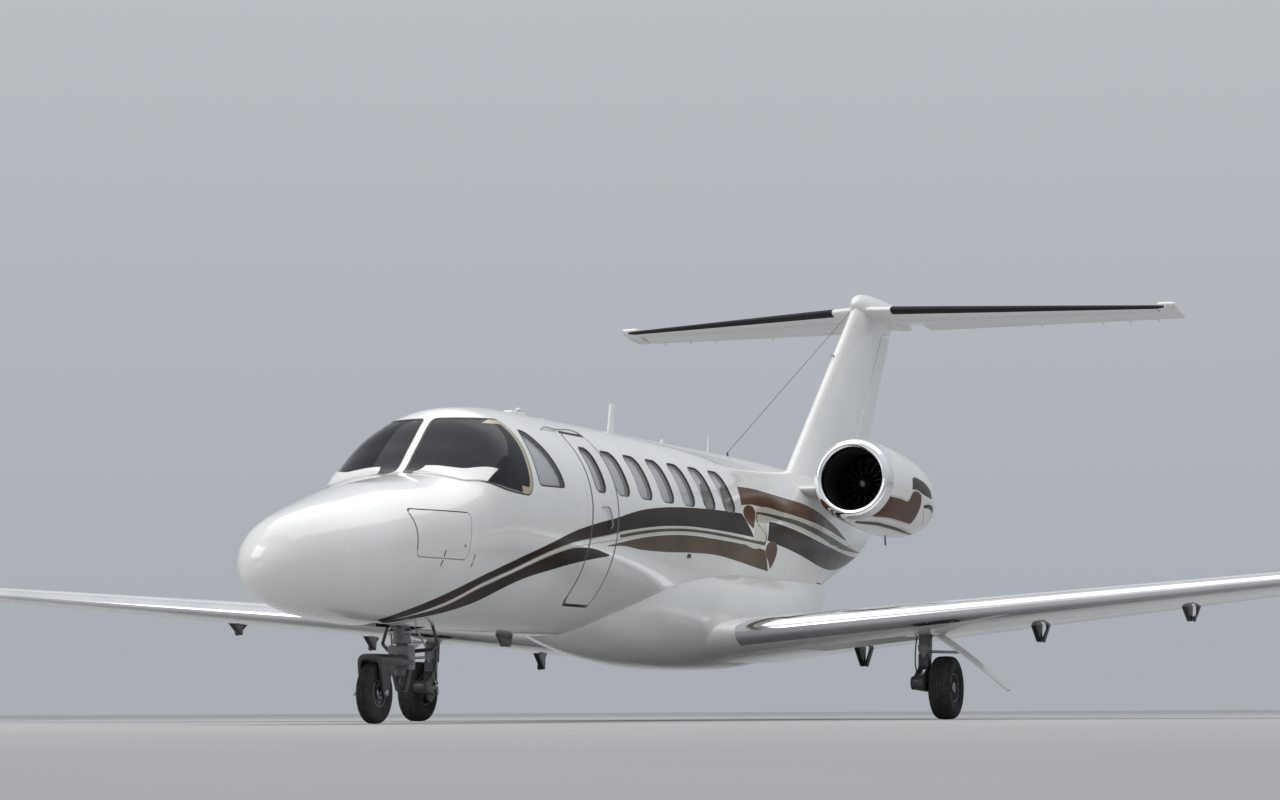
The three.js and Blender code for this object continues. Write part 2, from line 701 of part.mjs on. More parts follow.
function makeInterior() {
  const seats = [];
  const rows = [[5150, -1], [6000, 1], [6900, 1], [7750, 1]];
  for (const [station, facing] of rows) {
    seats.push(seat(-355, station, facing, 0.9), seat(355, station, facing, 0.9));
  }
  const rails = box(-425, 425, at(4980), at(7990), FLOOR_Z + GAP, FLOOR_Z + 14);
  const lifted = seats.map((s) => cut(s, box(-900, 900, at(4000), at(8900), 0, FLOOR_Z + GAP)));
  const room = whole(-SKIN - 12);
  add("cabin_seats", union(rails, ...lifted).intersect(room), LEATHER());
  const pilots = [seat(-340, 3330, 1, 0.9), seat(340, 3330, 1, 0.9)];
  const plateUnder = box(-415, 415, at(3130), at(3530), FLOOR_Z + GAP, FLOOR_Z + 14);
  const underFloor = box(-900, 900, at(2500), at(4200), 0, FLOOR_Z + GAP);
  add("pilot_seats", cut(union(plateUnder, ...pilots), underFloor).intersect(room), LEATHER());
  const outline = [
    [2330, 1100], [2650, 1100], [2720, 1250], [2760, 1830], [2700, 1890], [2420, 1870], [2330, 1800],
  ];
  const panel = plate("yz", outline.map(([s, z]) => [at(s), z]), -640, 640);
  const stand = box(-120, 120, at(2400), at(2980), FLOOR_Z + GAP, 1300);
  add("instrument_panel", union(panel, stand).intersect(whole(-SKIN - 6)), PANEL());
}

// Engines
const engineDirection = Vec(0, Math.cos(ENGINE.tilt), -Math.sin(ENGINE.tilt));
const inletCentre = Vec(ENGINE.x, at(ENGINE.inlet), ENGINE.z);
const enginePoint = (along) => inletCentre.clone().addScaledVector(engineDirection, along);
const NACELLE_SIDES = 24;
const DUCT = 292;
const FAN_BACK = 560;
const SHAFT = 45;

// The nacelle's outside as [radius, distance behind the lip].
const NACELLE = [[397, 110], [414, 400], [418, 850], [408, 1200], [365, 1550], [285, 1850], [225, 2050]];

function nacelleOuter(offset) {
  const outside = NACELLE.map(([radius, along]) => [radius + offset, along]);
  const profile = [[0, 0], [375 + offset, 0], ...outside, [0, 2050]];
  return turned(profile, enginePoint(0), engineDirection, NACELLE_SIDES);
}

function makeEngine() {
  const nacelle = turned([
    [304, 110], ...NACELLE,
    [210, 2050], [260, 1840], [325, 1550], [345, 1350], [345, 900], [DUCT, 700], [DUCT, 200], [304, 110],
  ], enginePoint(0), engineDirection, NACELLE_SIDES);
  const lip = turned([
    [304, 110 - GAP], [296, 50], [308, 12], [332, 0],
    [360, 10], [386, 55], [397, 110 - GAP], [304, 110 - GAP],
  ], enginePoint(0), engineDirection, NACELLE_SIDES);
  addPair("nacelle", nacelle, WHITE);
  addPair("inlet_lip", lip, POLISHED);
  const core = turned([
    [0, FAN_BACK + GAP], [SHAFT, FAN_BACK + GAP], [SHAFT, 640], [235, 640],
    [250, 880], [345 - GAP, 930], [345 - GAP, 990], [250, 1010], [250, 1230],
    [345 - GAP, 1250], [345 - GAP, 1310], [235, 1330], [200, 1500], [140, 1750], [0, 1960],
  ], enginePoint(0), engineDirection, NACELLE_SIDES);
  addPair("engine", core, DARK_METAL);
  const bladeCount = 16;
  const hubProfile = [[0, 330], [55, 365], [100, 460], [100, FAN_BACK], [0, FAN_BACK]];
  const hub = turned(hubProfile, enginePoint(0), engineDirection, bladeCount);
  const blades = [];
  for (let i = 0; i < bladeCount; i += 1) {
    const blade = new THREE.BoxGeometry(DUCT - 8 - 90, 8, 70);
    blade.rotateX(0.3);
    blade.translate((DUCT - 8 + 90) / 2, 0, 0);
    blade.rotateZ((2 * Math.PI * (i + 0.5)) / bladeCount);
    blade.translate(0, 0, 510);
    const turn = new THREE.Quaternion().setFromUnitVectors(Vec(0, 0, 1), engineDirection);
    blade.applyQuaternion(turn);
    const origin = enginePoint(0);
    blade.translate(origin.x, origin.y, origin.z);
    blades.push(toSolid(blade));
  }
  addPair("fan", union(hub, ...blades), DARK_METAL);
}

const PYLON = { leading: 9800, chord: 1750, z: 2215, thickness: 0.07, drop: 0.045, inner: 450, outer: 900 };

function pylon() {
  const { leading, chord, z, thickness, drop } = PYLON;
  const outline = airfoil(thickness, 0);
  const ring = (x) => outline.map(([u, v]) => Vec(x, at(leading + u * chord), z + (v - drop * u) * chord));
  const solid = loft([ring(PYLON.inner), ring(PYLON.outer)]);
  return cut(solid, nacelleOuter(GAP));
}

function makeTail() {
  const panel = panelPrism(TAIL_DOOR, SWING_GAP);
  const depth = cut(panel, skin(9500, 12000, -TAIL_DOOR.thick - GAP));
  const bay = bagBay(TAIL_DOOR, -100, 900, 30);
  const left = pylon();
  const hull = union(skin(CABIN_END, TAIL_CONE_START - GAP), left, mirrored(left));
  add("aft_fuselage", cut(hull, depth, bay, finSolid(GAP)), WHITE());
  add("tail_cone", cut(skin(TAIL_CONE_START, TAIL_END), finSolid(GAP)), WHITE());
  const door = skinBand(9500, 12000, 0, -TAIL_DOOR.thick).intersect(panelPrism(TAIL_DOOR, 0));
  add("tail_baggage_door", door, WHITE());
}

// Fin, rudder, stabilizer and elevator
// Columns: z, leading edge station, chord, thickness
const FIN = [
  [2300, 10950, 2330, 0.085],
  [2700, 11410, 2200, 0.09],
  [4440, 13420, 1380, 0.1],
];
const RUDDER_PART = 0.72;
const RUDDER_GAP = 12;

function finRing([z, leading, chord, thickness], offset = 0) {
  const outline = airfoil(thickness, 0);
  return outline.map(([u, v]) => Vec(v * chord + Math.sign(v) * offset, at(leading + u * chord), z));
}

const finLoft = (offset = 0) => loft(FIN.map((row) => finRing(row, offset)));
const finStation = (z, part) => {
  const [low, high] = z < FIN[1][0] ? [FIN[0], FIN[1]] : [FIN[1], FIN[2]];
  const t = (z - low[0]) / (high[0] - low[0]);
  const leading = low[1] + t * (high[1] - low[1]);
  const chord = low[2] + t * (high[2] - low[2]);
  return leading + part * chord;
};

// The rudder's hinge is one straight line, drawn through its places at the fin's root and tip.
function rudderHinge(z) {
  const root = FIN[1][0];
  const tip = FIN[2][0];
  const rootStation = finStation(root, RUDDER_PART);
  const tipStation = finStation(tip, RUDDER_PART);
  return rootStation + ((z - root) * (tipStation - rootStation)) / (tip - root);
}

function rudderSide(z0, z1, shift) {
  const outline = [
    [at(rudderHinge(z0) + shift), z0],
    [at(finStation(z0, 1) + 400), z0],
    [at(finStation(z1, 1) + 400), z1],
    [at(rudderHinge(z1) + shift), z1],
  ];
  return plate("yz", outline, -400, 400);
}

const RUDDER = { low: 2480, high: 4180, bevel: 0.55 };

// The room beside the rudder's hinge line, cut away so that its front corners clear the fin when it turns.
function rudderBevel() {
  const far = 400;
  const ring = (z) => {
    const hinge = at(rudderHinge(z) + RUDDER_GAP);
    return [Vec(0, hinge, z), Vec(far, hinge - 100, z), Vec(far, hinge + far * RUDDER.bevel, z)];
  };
  return loft([ring(RUDDER.low - 50), ring(RUDDER.high + 50)]);
}

function finSolid(offset) {
  return cut(finLoft(offset), rudderSide(RUDDER.low - 40, RUDDER.high + 30, 0));
}

function makeFin() {
  add("fin", cut(finSolid(0), bulletSolid(GAP)), WHITE());
  const blade = finLoft(0).intersect(rudderSide(RUDDER.low, RUDDER.high, RUDDER_GAP));
  add("rudder", cut(blade, rudderBevel(), mirrored(rudderBevel())), WHITE());
}

// Columns: station, half width, half height, z of the middle
const BULLET = [
  [13340, 8, 8, 4430],
  [13400, 50, 70, 4430],
  [13500, 80, 115, 4430],
  [13650, 98, 138, 4432],
  [13900, 110, 150, 4435],
  [14400, 112, 146, 4432],
  [14700, 105, 135, 4428],
  [15000, 85, 100, 4415],
  [15400, 35, 40, 4395],
  [LENGTH, 12, 14, 4390],
];

function bulletSolid(offset = 0) {
  return loft(BULLET.map(([station, w, h, z]) => {
    const ring = [];
    for (let i = 0; i < 16; i += 1) {
      const angle = (2 * Math.PI * i) / 16;
      ring.push(Vec((w + offset) * Math.cos(angle), at(station), z + (h + offset) * Math.sin(angle)));
    }
    return ring;
  }));
}

// Columns: x, leading edge station, chord, thickness
const STAB = [
  [0, 13500, 1690, 0.085],
  [3176, 14600, 590, 0.1],
];
const STAB_TIP = 3018;
const STAB_TRAILING = 15190;
const ELEVATOR = { hinge: 14820, gap: 24, inner: 320 };
const HORN = { inner: 3030, outer: 3215, leading: 14612, room: 14584, chamfer: 26 };
const TORQUE_TUBE = 24;

function stabRing([x, leading, chord, thickness]) {
  return airfoil(thickness, 0).map(([u, v]) => Vec(x, at(leading + u * chord), STAB_Z + v * chord));
}

function drooped(solid) {
  const geometry = toGeometry(solid);
  geometry.translate(0, -at(ELEVATOR.hinge), -STAB_Z);
  geometry.rotateX(-ELEVATOR_DROOP);
  geometry.translate(0, at(ELEVATOR.hinge), STAB_Z);
  return toSolid(geometry);
}

const tubeAlongHinge = (half, radius) => rod(
  Vec(-half, at(ELEVATOR.hinge), STAB_Z),
  Vec(half, at(ELEVATOR.hinge), STAB_Z),
  radius,
  16,
);

function makeStabilizer() {
  const half = loft(STAB.map(stabRing));
  const roomFrom = at(ELEVATOR.hinge - ELEVATOR.gap);
  const room = box(ELEVATOR.inner - 12, HORN.outer, roomFrom, at(LENGTH), 4000, 4800);
  const tipRoom = box(STAB_TIP, HORN.outer, at(HORN.room), at(LENGTH), 4000, 4800);
  const rooms = [room, mirrored(room), tipRoom, mirrored(tipRoom)];
  const fixed = cut(union(half, mirrored(half)), ...rooms, finSolid(GAP));
  const channel = tubeAlongHinge(ELEVATOR.inner + 60, TORQUE_TUBE + 8);
  add("stabilizer", cut(union(fixed, bulletSolid()), channel), WHITE());
  const flap = half.intersect(box(ELEVATOR.inner, STAB_TIP, at(ELEVATOR.hinge), at(LENGTH), 4000, 4800));
  const hornChord = STAB_TRAILING - HORN.leading;
  const horn = loft([
    stabRing([HORN.inner, HORN.leading, hornChord, 0.17]),
    stabRing([HORN.outer - HORN.chamfer, HORN.leading, hornChord, 0.16]),
    stabRing([HORN.outer, HORN.leading + 40, hornChord - 60, 0.06]),
  ]);
  const joinerFrom = at(ELEVATOR.hinge + 40);
  const joinerTo = at(STAB_TRAILING - 120);
  const joiner = box(STAB_TIP - 100, HORN.inner + 20, joinerFrom, joinerTo, STAB_Z - 8, STAB_Z + 8);
  const tube = tubeAlongHinge(ELEVATOR.inner + 30, TORQUE_TUBE);
  const side = union(flap, horn, joiner);
  add("elevator", drooped(union(side, mirrored(side), tube)), WHITE());
}

// Wheels and gear
const WHEEL_SIDES = 26;

function tyre(x, axle, size, rim) {
  const half = size.width / 2;
  const r = size.radius;
  const profile = [
    [rim, -half * 0.72], [r * 0.75, -half], [r * 0.92, -half * 0.86], [r, -half * 0.35],
    [r, half * 0.35], [r * 0.92, half * 0.86], [r * 0.75, half], [rim, half * 0.72], [rim, -half * 0.72],
  ];
  return turned(profile, Vec(x, at(axle.station), axle.z), Vec(1, 0, 0), WHEEL_SIDES);
}

function wheel(x, axle, size, rim, bore) {
  const half = size.width / 2;
  const profile = [
    [bore, -half * 0.55], [rim * 0.45, -half * 0.5], [rim * 0.88, -half * 0.3], [rim * 0.93, -half * 0.7],
    [rim - GAP, -half * 0.7], [rim - GAP, half * 0.7], [rim * 0.93, half * 0.7], [rim * 0.88, half * 0.3],
    [rim * 0.45, half * 0.5], [bore, half * 0.55], [bore, -half * 0.55],
  ];
  return turned(profile, Vec(x, at(axle.station), axle.z), Vec(1, 0, 0), WHEEL_SIDES);
}

const NOSE_STRUT = { station: 2290, radius: 62, low: 360, split: 600 };
const FORK = { inner: 74, outer: 98, crownLow: 478, crownHigh: 520, front: 1770 };
const AXLE_RADIUS = 24;

function makeNoseGear() {
  const s = NOSE_STRUT.station;
  const flangeTop = FLOOR_Z - 45 - GAP;
  const leg = union(
    rod(Vec(0, at(s), NOSE_STRUT.split), Vec(0, at(s), flangeTop - 10), NOSE_STRUT.radius + 10, 16),
    box(-140, 140, at(s - 90), at(s + 90), flangeTop - 40, flangeTop),
    rod(Vec(0, at(s - 20), 690), Vec(0, at(1700), GEAR_WELL.top - 24), 22, 10),
  );
  add("nose_leg", leg, GEAR_METAL());
  const strut = union(
    rod(Vec(0, at(s), NOSE_STRUT.low), Vec(0, at(s), NOSE_STRUT.split - GAP), NOSE_STRUT.radius, 16),
    box(-FORK.outer, FORK.outer, at(FORK.front), at(s), FORK.crownLow, FORK.crownHigh),
  );
  const link = [[s - 55, 400], [s + 55, 400], [s + 28, 240], [s - 28, 240]];
  const hole = box(-50, 50, at(s - 20), at(s + 20), 300, 345);
  const scissor = cut(plate("yz", link.map(([u, v]) => [at(u), v]), -36, 36), hole);
  const { station, z } = NOSE_AXLE;
  const armOutline = [
    [FORK.front, FORK.crownHigh], [FORK.front + 170, FORK.crownHigh], [station + 42, z],
    [station + 20, z - 38], [station - 20, z - 38], [station - 42, z],
  ];
  const arm = plate("yz", armOutline.map(([u, v]) => [at(u), v]), FORK.inner, FORK.outer);
  const axle = rod(Vec(-NOSE_AXLE.end, at(station), z), Vec(NOSE_AXLE.end, at(station), z), AXLE_RADIUS, 16);
  add("nose_fork", union(strut, scissor, arm, mirrored(arm), axle), GEAR_METAL());
  add("nose_wheel", wheel(0, NOSE_AXLE, NOSE_TYRE, 110, AXLE_RADIUS + 0.5), GEAR_METAL());
  add("nose_tyre", tyre(0, NOSE_AXLE, NOSE_TYRE, 110), RUBBER());
}

const ARM = { pivot: 7690, z: 320, post: 7900, shock: 8035 };
const MAIN_DOOR = { topX: 2560, topZ: 737, lowX: 3190, lowZ: 246, from: 7700, to: 8010 };

// The leg hangs from a cross pin held in the two side walls of its well.
function makeMainGear(wingSolid) {
  const top = wingZ(LEG_X) + 40;
  const pin = top - 60;
  const pivot = at(ARM.pivot);
  const leg = at(ARM.post);
  const axle = at(MAIN_AXLE.station);
  const casting = [
    [ARM.pivot - 50, 350], [ARM.pivot + 10, 290], [ARM.post + 40, 400],
    [ARM.post + 50, 580], [ARM.post - 50, 580], [ARM.post - 60, 460],
  ];
  const post = union(
    rod(Vec(LEG_X, leg, 450), Vec(LEG_X, leg, top), 54, 16),
    plate("yz", casting.map(([s, z]) => [at(s), z]), LEG_X - 48, LEG_X + 48),
    rod(Vec(LEG_X - 62, pivot, ARM.z), Vec(LEG_X + 62, pivot, ARM.z), 60, 16),
    box(LEG_X - 30, LEG_X + 30, pivot, axle + 45, MAIN_AXLE.z - 30, MAIN_AXLE.z + 50),
    rod(Vec(LEG_X, at(ARM.shock), top - 80), Vec(LEG_X, axle + 20, MAIN_AXLE.z + 30), 30, 12),
    rod(Vec(LEG_X - 42, axle, MAIN_AXLE.z), Vec(MAIN_AXLE.x + 70, axle, MAIN_AXLE.z), AXLE_RADIUS, 16),
    rod(Vec(LEG_X, leg, top - 110), Vec(LEG_X - 600, leg, top - 80), 26, 10),
    rod(Vec(LEG_X, leg, pin), Vec(LEG_X + WELL.half - GAP, leg, pin), 40, 12),
  );
  const { topX, topZ, lowX, lowZ } = MAIN_DOOR;
  const outline = [[topX, topZ], [topX + 26, topZ + 10], [lowX + 12, lowZ + 8], [lowX, lowZ]];
  const taper = [
    [at(MAIN_DOOR.from), 780], [at(MAIN_DOOR.to), 780],
    [at(MAIN_DOOR.to - 115), 240], [at(MAIN_DOOR.from + 85), 240],
  ];
  const panel = plate("xz", outline, at(MAIN_DOOR.from), at(MAIN_DOOR.to))
    .intersect(plate("yz", taper, topX - 10, lowX + 20));
  const link = rod(Vec(LEG_X, leg, 600), Vec(2770, leg, 588), 12, 10);
  const roomFrom = at(WELL.from + 1);
  const roomTo = at(WELL.to - 1);
  const room = box(LEG_X - 1060, LEG_X + WELL.half - GAP, roomFrom, roomTo, -500, wellRoof - GAP);
  const wing = cut(wingSolid, room);
  addPair("main_leg", cut(union(post, panel, link), wing), GEAR_METAL);
  addPair("main_wheel", wheel(MAIN_AXLE.x, MAIN_AXLE, MAIN_TYRE, 132, AXLE_RADIUS + 0.5), GEAR_METAL);
  addPair("main_tyre", tyre(MAIN_AXLE.x, MAIN_AXLE, MAIN_TYRE, 132), RUBBER);
}

makeNose();
makeCabin();
makeInterior();
makeTail();
makeFin();
makeStabilizer();
const wingSolid = makeWing();
add("belly_fairing", cut(fairing(0), whole(GAP)), WHITE());
makeEngine();
makeNoseGear();
makeMainGear(wingSolid);

export default aircraft;
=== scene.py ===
"""A light business jet on its gear, dressed in paint, glass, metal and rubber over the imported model."""
import math

import bmesh
import bpy
import numpy as np
from mathutils import Matrix, Vector


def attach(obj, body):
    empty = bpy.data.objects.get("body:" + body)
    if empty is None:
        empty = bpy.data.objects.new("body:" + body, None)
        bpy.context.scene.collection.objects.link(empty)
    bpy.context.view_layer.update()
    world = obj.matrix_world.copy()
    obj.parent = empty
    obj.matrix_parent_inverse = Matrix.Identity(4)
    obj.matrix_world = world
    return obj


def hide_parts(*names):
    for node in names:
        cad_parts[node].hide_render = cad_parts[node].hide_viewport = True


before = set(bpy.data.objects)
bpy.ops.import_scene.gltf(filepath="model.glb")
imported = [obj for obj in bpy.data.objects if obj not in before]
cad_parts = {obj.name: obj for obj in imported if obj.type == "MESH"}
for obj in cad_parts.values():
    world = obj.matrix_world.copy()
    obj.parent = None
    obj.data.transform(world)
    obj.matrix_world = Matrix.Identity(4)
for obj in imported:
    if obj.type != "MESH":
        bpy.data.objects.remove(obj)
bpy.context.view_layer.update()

# Sizes are in metres. A station is the distance aft of the nose tip, and the nose points to -Y.
NOSE_CAP = 0.004
LENGTH = 15.5
MIDDLE = (NOSE_CAP + LENGTH) / 2
AIRFRAME = "airframe"
DOOR_BODY = "cabin_door_body"
SIDES = ((1, "left"), (-1, "right"))


def at(station):
    return station - MIDDLE


# Camera
CAMERA_PLACE = Vector((11.084, at(-20.521), 0.087))
CAMERA_AZIMUTH = math.radians(21.8143)
CAMERA_ELEVATION = math.radians(5.3354)
CAMERA_ROLL = math.radians(-0.26767)
FOCAL_PIXELS = 3329.1
PHOTO_WIDTH = 1280
SENSOR = 36.0


def make_camera():
    data = bpy.data.cameras.new("camera")
    data.sensor_width = SENSOR
    data.sensor_fit = "HORIZONTAL"
    data.lens = FOCAL_PIXELS / PHOTO_WIDTH * SENSOR
    data.clip_start = 0.1
    data.clip_end = 2000
    level = math.cos(CAMERA_ELEVATION)
    forward = Vector((
        -math.sin(CAMERA_AZIMUTH) * level,
        math.cos(CAMERA_AZIMUTH) * level,
        math.sin(CAMERA_ELEVATION),
    ))
    right = forward.cross(Vector((0, 0, 1))).normalized()
    up = right.cross(forward)
    c = math.cos(CAMERA_ROLL)
    s = math.sin(CAMERA_ROLL)
    turned_right = c * right + s * up
    turned_up = -s * right + c * up
    camera = bpy.data.objects.new("camera", data)
    rotation = Matrix((turned_right, turned_up, -forward)).transposed()
    camera.matrix_world = Matrix.Translation(CAMERA_PLACE) @ rotation.to_4x4()
    bpy.context.scene.collection.objects.link(camera)
    bpy.context.scene.camera = camera


make_camera()


# Materials
class Look:
    """A procedural material built up from noise, ramps and bump."""

    def __init__(self, name, roughness=0.4, metallic=0.0, **sockets):
        self.material = bpy.data.materials.new(name)
        self.material.use_nodes = True
        self.nodes = self.material.node_tree.nodes
        self.links = self.material.node_tree.links
        self.shader = self.nodes["Principled BSDF"]
        self.shader.inputs["Roughness"].default_value = roughness
        self.shader.inputs["Metallic"].default_value = metallic
        for socket, value in sockets.items():
            self.shader.inputs[socket.replace("_", " ")].default_value = value
        self.object_place = self.nodes.new("ShaderNodeTexCoord").outputs["Object"]

    def stretched(self, scale):
        node = self.nodes.new("ShaderNodeMapping")
        node.inputs["Scale"].default_value = scale
        self.links.new(self.object_place, node.inputs["Vector"])
        return node.outputs["Vector"]

    def noise(self, scale, detail=3.0, stretch=None):
        node = self.nodes.new("ShaderNodeTexNoise")
        node.inputs["Scale"].default_value = scale
        node.inputs["Detail"].default_value = detail
        place = self.stretched(stretch) if stretch else self.object_place
        self.links.new(place, node.inputs["Vector"])
        return node.outputs["Fac"]

    def cells(self, scale):
        node = self.nodes.new("ShaderNodeTexVoronoi")
        node.inputs["Scale"].default_value = scale
        self.links.new(self.object_place, node.inputs["Vector"])
        return node.outputs["Distance"]

    def ramp(self, value, stops):
        node = self.nodes.new("ShaderNodeValToRGB")
        ramp = node.color_ramp
        while len(ramp.elements) < len(stops):
            ramp.elements.new(0.5)
        for element, (position, color) in zip(ramp.elements, stops):
            element.position = position
            element.color = (*color, 1.0)
        self.links.new(value, node.inputs["Fac"])
        return node.outputs["Color"]

    def color(self, value, stops):
        self.links.new(self.ramp(value, stops), self.shader.inputs["Base Color"])
        return self

    def rough(self, value, low, high):
        node = self.nodes.new("ShaderNodeMapRange")
        node.inputs["To Min"].default_value = low
        node.inputs["To Max"].default_value = high
        self.links.new(value, node.inputs["Value"])
        self.links.new(node.outputs["Result"], self.shader.inputs["Roughness"])
        return self

    def bump(self, value, distance, strength=1.0):
        node = self.nodes.new("ShaderNodeBump")
        node.inputs["Distance"].default_value = distance
        node.inputs["Strength"].default_value = strength
        self.links.new(value, node.inputs["Height"])
        self.links.new(node.outputs["Normal"], self.shader.inputs["Normal"])
        return self


def painted(name, dark, light, roughness=(0.16, 0.26), peel=0.00025, coat=0.9, shine=0.5):
    look = Look(name, Coat_Weight=coat, Coat_Roughness=0.04, Specular_IOR_Level=shine)
    look.color(look.noise(1.7, 4.0), [(0.35, dark), (0.65, light)])
    look.rough(look.noise(9.0), *roughness)
    look.bump(look.noise(160.0, 2.0), peel, 0.25)
    return look.material


def metal(name, dark, light, roughness, stretch=(60, 3, 3)):
    look = Look(name, metallic=1.0)
    look.color(look.noise(2.0, 5.0), [(0.3, dark), (0.7, light)])
    look.rough(look.noise(1.0, 6.0, stretch), *roughness)
    look.bump(look.noise(1.4, 6.0, stretch), 0.0004, 0.3)
    return look.material


def rubber(name):
    look = Look(name, roughness=0.85)
    look.color(look.noise(22.0, 6.0), [(0.3, (0.013, 0.013, 0.014)), (0.75, (0.045, 0.043, 0.04))])
    look.rough(look.noise(14.0, 5.0), 0.65, 0.95)
    look.bump(look.noise(240.0, 6.0), 0.0008, 0.6)
    return look.material


def glazing(name, tint, roughness=0.02):
    look = Look(name, roughness=roughness, IOR=1.49, Transmission_Weight=1.0)
    look.shader.inputs["Base Color"].default_value = (*tint, 1.0)
    look.rough(look.noise(5.0, 6.0), roughness, roughness + 0.03)
    look.bump(look.noise(1.4, 2.0), 0.002, 0.1)
    return look.material


def pane_glass(name, tint, cover, gloss=1.0):
    """A thin pane that lets light straight through, apart from a part covered by its tint."""
    look = Look(
        name, roughness=0.03, Alpha=cover,
        Coat_Weight=gloss, Coat_Roughness=0.02, Specular_IOR_Level=0.5 * gloss,
    )
    deep = tuple(0.8 * value for value in tint)
    look.color(look.noise(1.5, 3.0), [(0.3, deep), (0.7, tint)])
    look.rough(look.noise(5.0, 6.0), 0.02, 0.06)
    return look.material


def leather(name, dark, light):
    look = Look(name, Sheen_Weight=0.15)
    look.color(look.noise(12.0, 6.0), [(0.3, dark), (0.7, light)])
    look.rough(look.noise(30.0, 4.0), 0.4, 0.6)
    look.bump(look.cells(260.0), 0.0006, 0.5)
    return look.material


def cloth(name, dark, light, scale=420.0):
    look = Look(name, roughness=0.95, Sheen_Weight=0.3)
    look.color(look.noise(scale / 4, 5.0), [(0.3, dark), (0.7, light)])
    look.bump(look.cells(scale), 0.0012, 0.7)
    return look.material


def plastic(name, dark, light, roughness=(0.35, 0.55)):
    look = Look(name)
    look.color(look.noise(18.0, 4.0), [(0.3, dark), (0.7, light)])
    look.rough(look.noise(40.0, 3.0), *roughness)
    look.bump(look.noise(300.0, 2.0), 0.0003, 0.4)
    return look.material


RIBBON_FINISH = {"coat": 0.03, "shine": 0.08}
CAST_FINISH = {"roughness": (0.35, 0.6), "peel": 0.0006, "coat": 0.4}
WHITE = painted("white_paint", (0.80, 0.80, 0.775), (0.86, 0.86, 0.84))
BROWN = painted("brown_paint", (0.085, 0.042, 0.026), (0.125, 0.066, 0.042), **RIBBON_FINISH)
DARK_BROWN = painted("dark_brown_paint", (0.018, 0.011, 0.008), (0.034, 0.021, 0.014), **RIBBON_FINISH)
TAUPE = painted("taupe_paint", (0.095, 0.070, 0.044), (0.140, 0.108, 0.070), **RIBBON_FINISH)
CREAM = painted("cream_paint", (0.60, 0.57, 0.47), (0.70, 0.67, 0.57))
STRIPE_GREEN = painted("stripe_green_paint", (0.060, 0.068, 0.050), (0.095, 0.104, 0.080), **RIBBON_FINISH)
PINSTRIPE = painted("pinstripe_paint", (0.42, 0.36, 0.24), (0.52, 0.45, 0.31))
GREY_PAINT = painted("grey_gear_paint", (0.15, 0.155, 0.16), (0.26, 0.265, 0.27), **CAST_FINISH)
RIM_PAINT = painted("rim_paint", (0.07, 0.072, 0.078), (0.13, 0.133, 0.14), (0.35, 0.55), 0.0006, 0.4)
DARK_GEAR = painted("dark_gear_paint", (0.022, 0.023, 0.025), (0.050, 0.051, 0.054), **CAST_FINISH)
# Near black for the white flap brackets and arms: painted shade
PAINTED_BRACKET_SHADE = painted("painted_shade_brackets", (0.022, 0.023, 0.024), (0.045, 0.046, 0.048), coat=0.1, shine=0.2)
BAND_GOLD = painted("window_band", (0.42, 0.34, 0.19), (0.55, 0.46, 0.28), coat=0.3)
POLISHED = metal("polished_aluminium", (0.78, 0.79, 0.81), (0.90, 0.905, 0.92), (0.05, 0.16), (3, 40, 40))
CHROME = metal("polished_lip", (0.80, 0.81, 0.83), (0.93, 0.935, 0.95), (0.03, 0.10), (12, 12, 12))
STEEL = metal("brushed_steel", (0.33, 0.34, 0.36), (0.52, 0.53, 0.55), (0.22, 0.42))
DARK_STEEL = metal("dark_steel", (0.07, 0.07, 0.075), (0.16, 0.16, 0.17), (0.3, 0.55))
FAN_METAL = metal("fan_metal", (0.035, 0.035, 0.037), (0.075, 0.076, 0.08), (0.25, 0.45), (20, 20, 20))
SPINNER = metal("spinner_metal", (0.10, 0.10, 0.105), (0.18, 0.18, 0.19), (0.25, 0.45), (20, 20, 20))
# Near black inside the nacelles: painted shade deep in the inlet, duct and exhaust
DUCT_PAINTED_SHADE = plastic("painted_shade_duct", (0.006, 0.006, 0.007), (0.014, 0.014, 0.016), (0.5, 0.8))
TYRE = rubber("tyre_rubber")
BOOT = plastic("boot_rubber", (0.006, 0.006, 0.0065), (0.014, 0.014, 0.015), (0.75, 0.95))
SEAL = plastic("black_seal", (0.012, 0.012, 0.013), (0.03, 0.03, 0.032))
WINDSHIELD_GLASS = pane_glass("windshield_glass", (0.010, 0.014, 0.022), 0.72, 0.25)
CABIN_GLASS = pane_glass("cabin_glass", (0.30, 0.32, 0.34), 0.22)
LINING = plastic("cabin_lining", (0.44, 0.40, 0.34), (0.52, 0.48, 0.41), (0.6, 0.8))
# Pale cloth for the blinds; behind the cockpit side panes it is painted reflection of the sky
SHADE = cloth("window_shade", (0.74, 0.75, 0.76), (0.86, 0.87, 0.88), 500.0)
SEAT_LEATHER = leather("seat_leather", (0.34, 0.27, 0.19), (0.46, 0.38, 0.28))
CARPET = cloth("carpet", (0.16, 0.12, 0.085), (0.26, 0.2, 0.145), 300.0)
PANEL_BLACK = plastic("panel_black", (0.012, 0.012, 0.013), (0.035, 0.035, 0.037), (0.6, 0.85))
BAY_GREY = plastic("bay_grey", (0.24, 0.25, 0.25), (0.33, 0.34, 0.34), (0.5, 0.7))
RED_LENS = glazing("red_lens", (0.75, 0.06, 0.05), 0.06)
GREEN_LENS = glazing("green_lens", (0.05, 0.6, 0.25), 0.06)
CLEAR_LENS = glazing("clear_lens", (0.9, 0.92, 0.94), 0.04)


# Mesh tools
def new_object(name, mesh):
    piece = bpy.data.objects.new(name, mesh)
    bpy.context.scene.collection.objects.link(piece)
    return piece


def new_mesh(name, verts, faces, materials):
    mesh = bpy.data.meshes.new(name)
    mesh.from_pydata(verts, [], faces)
    for material in materials:
        mesh.materials.append(material)
    return mesh


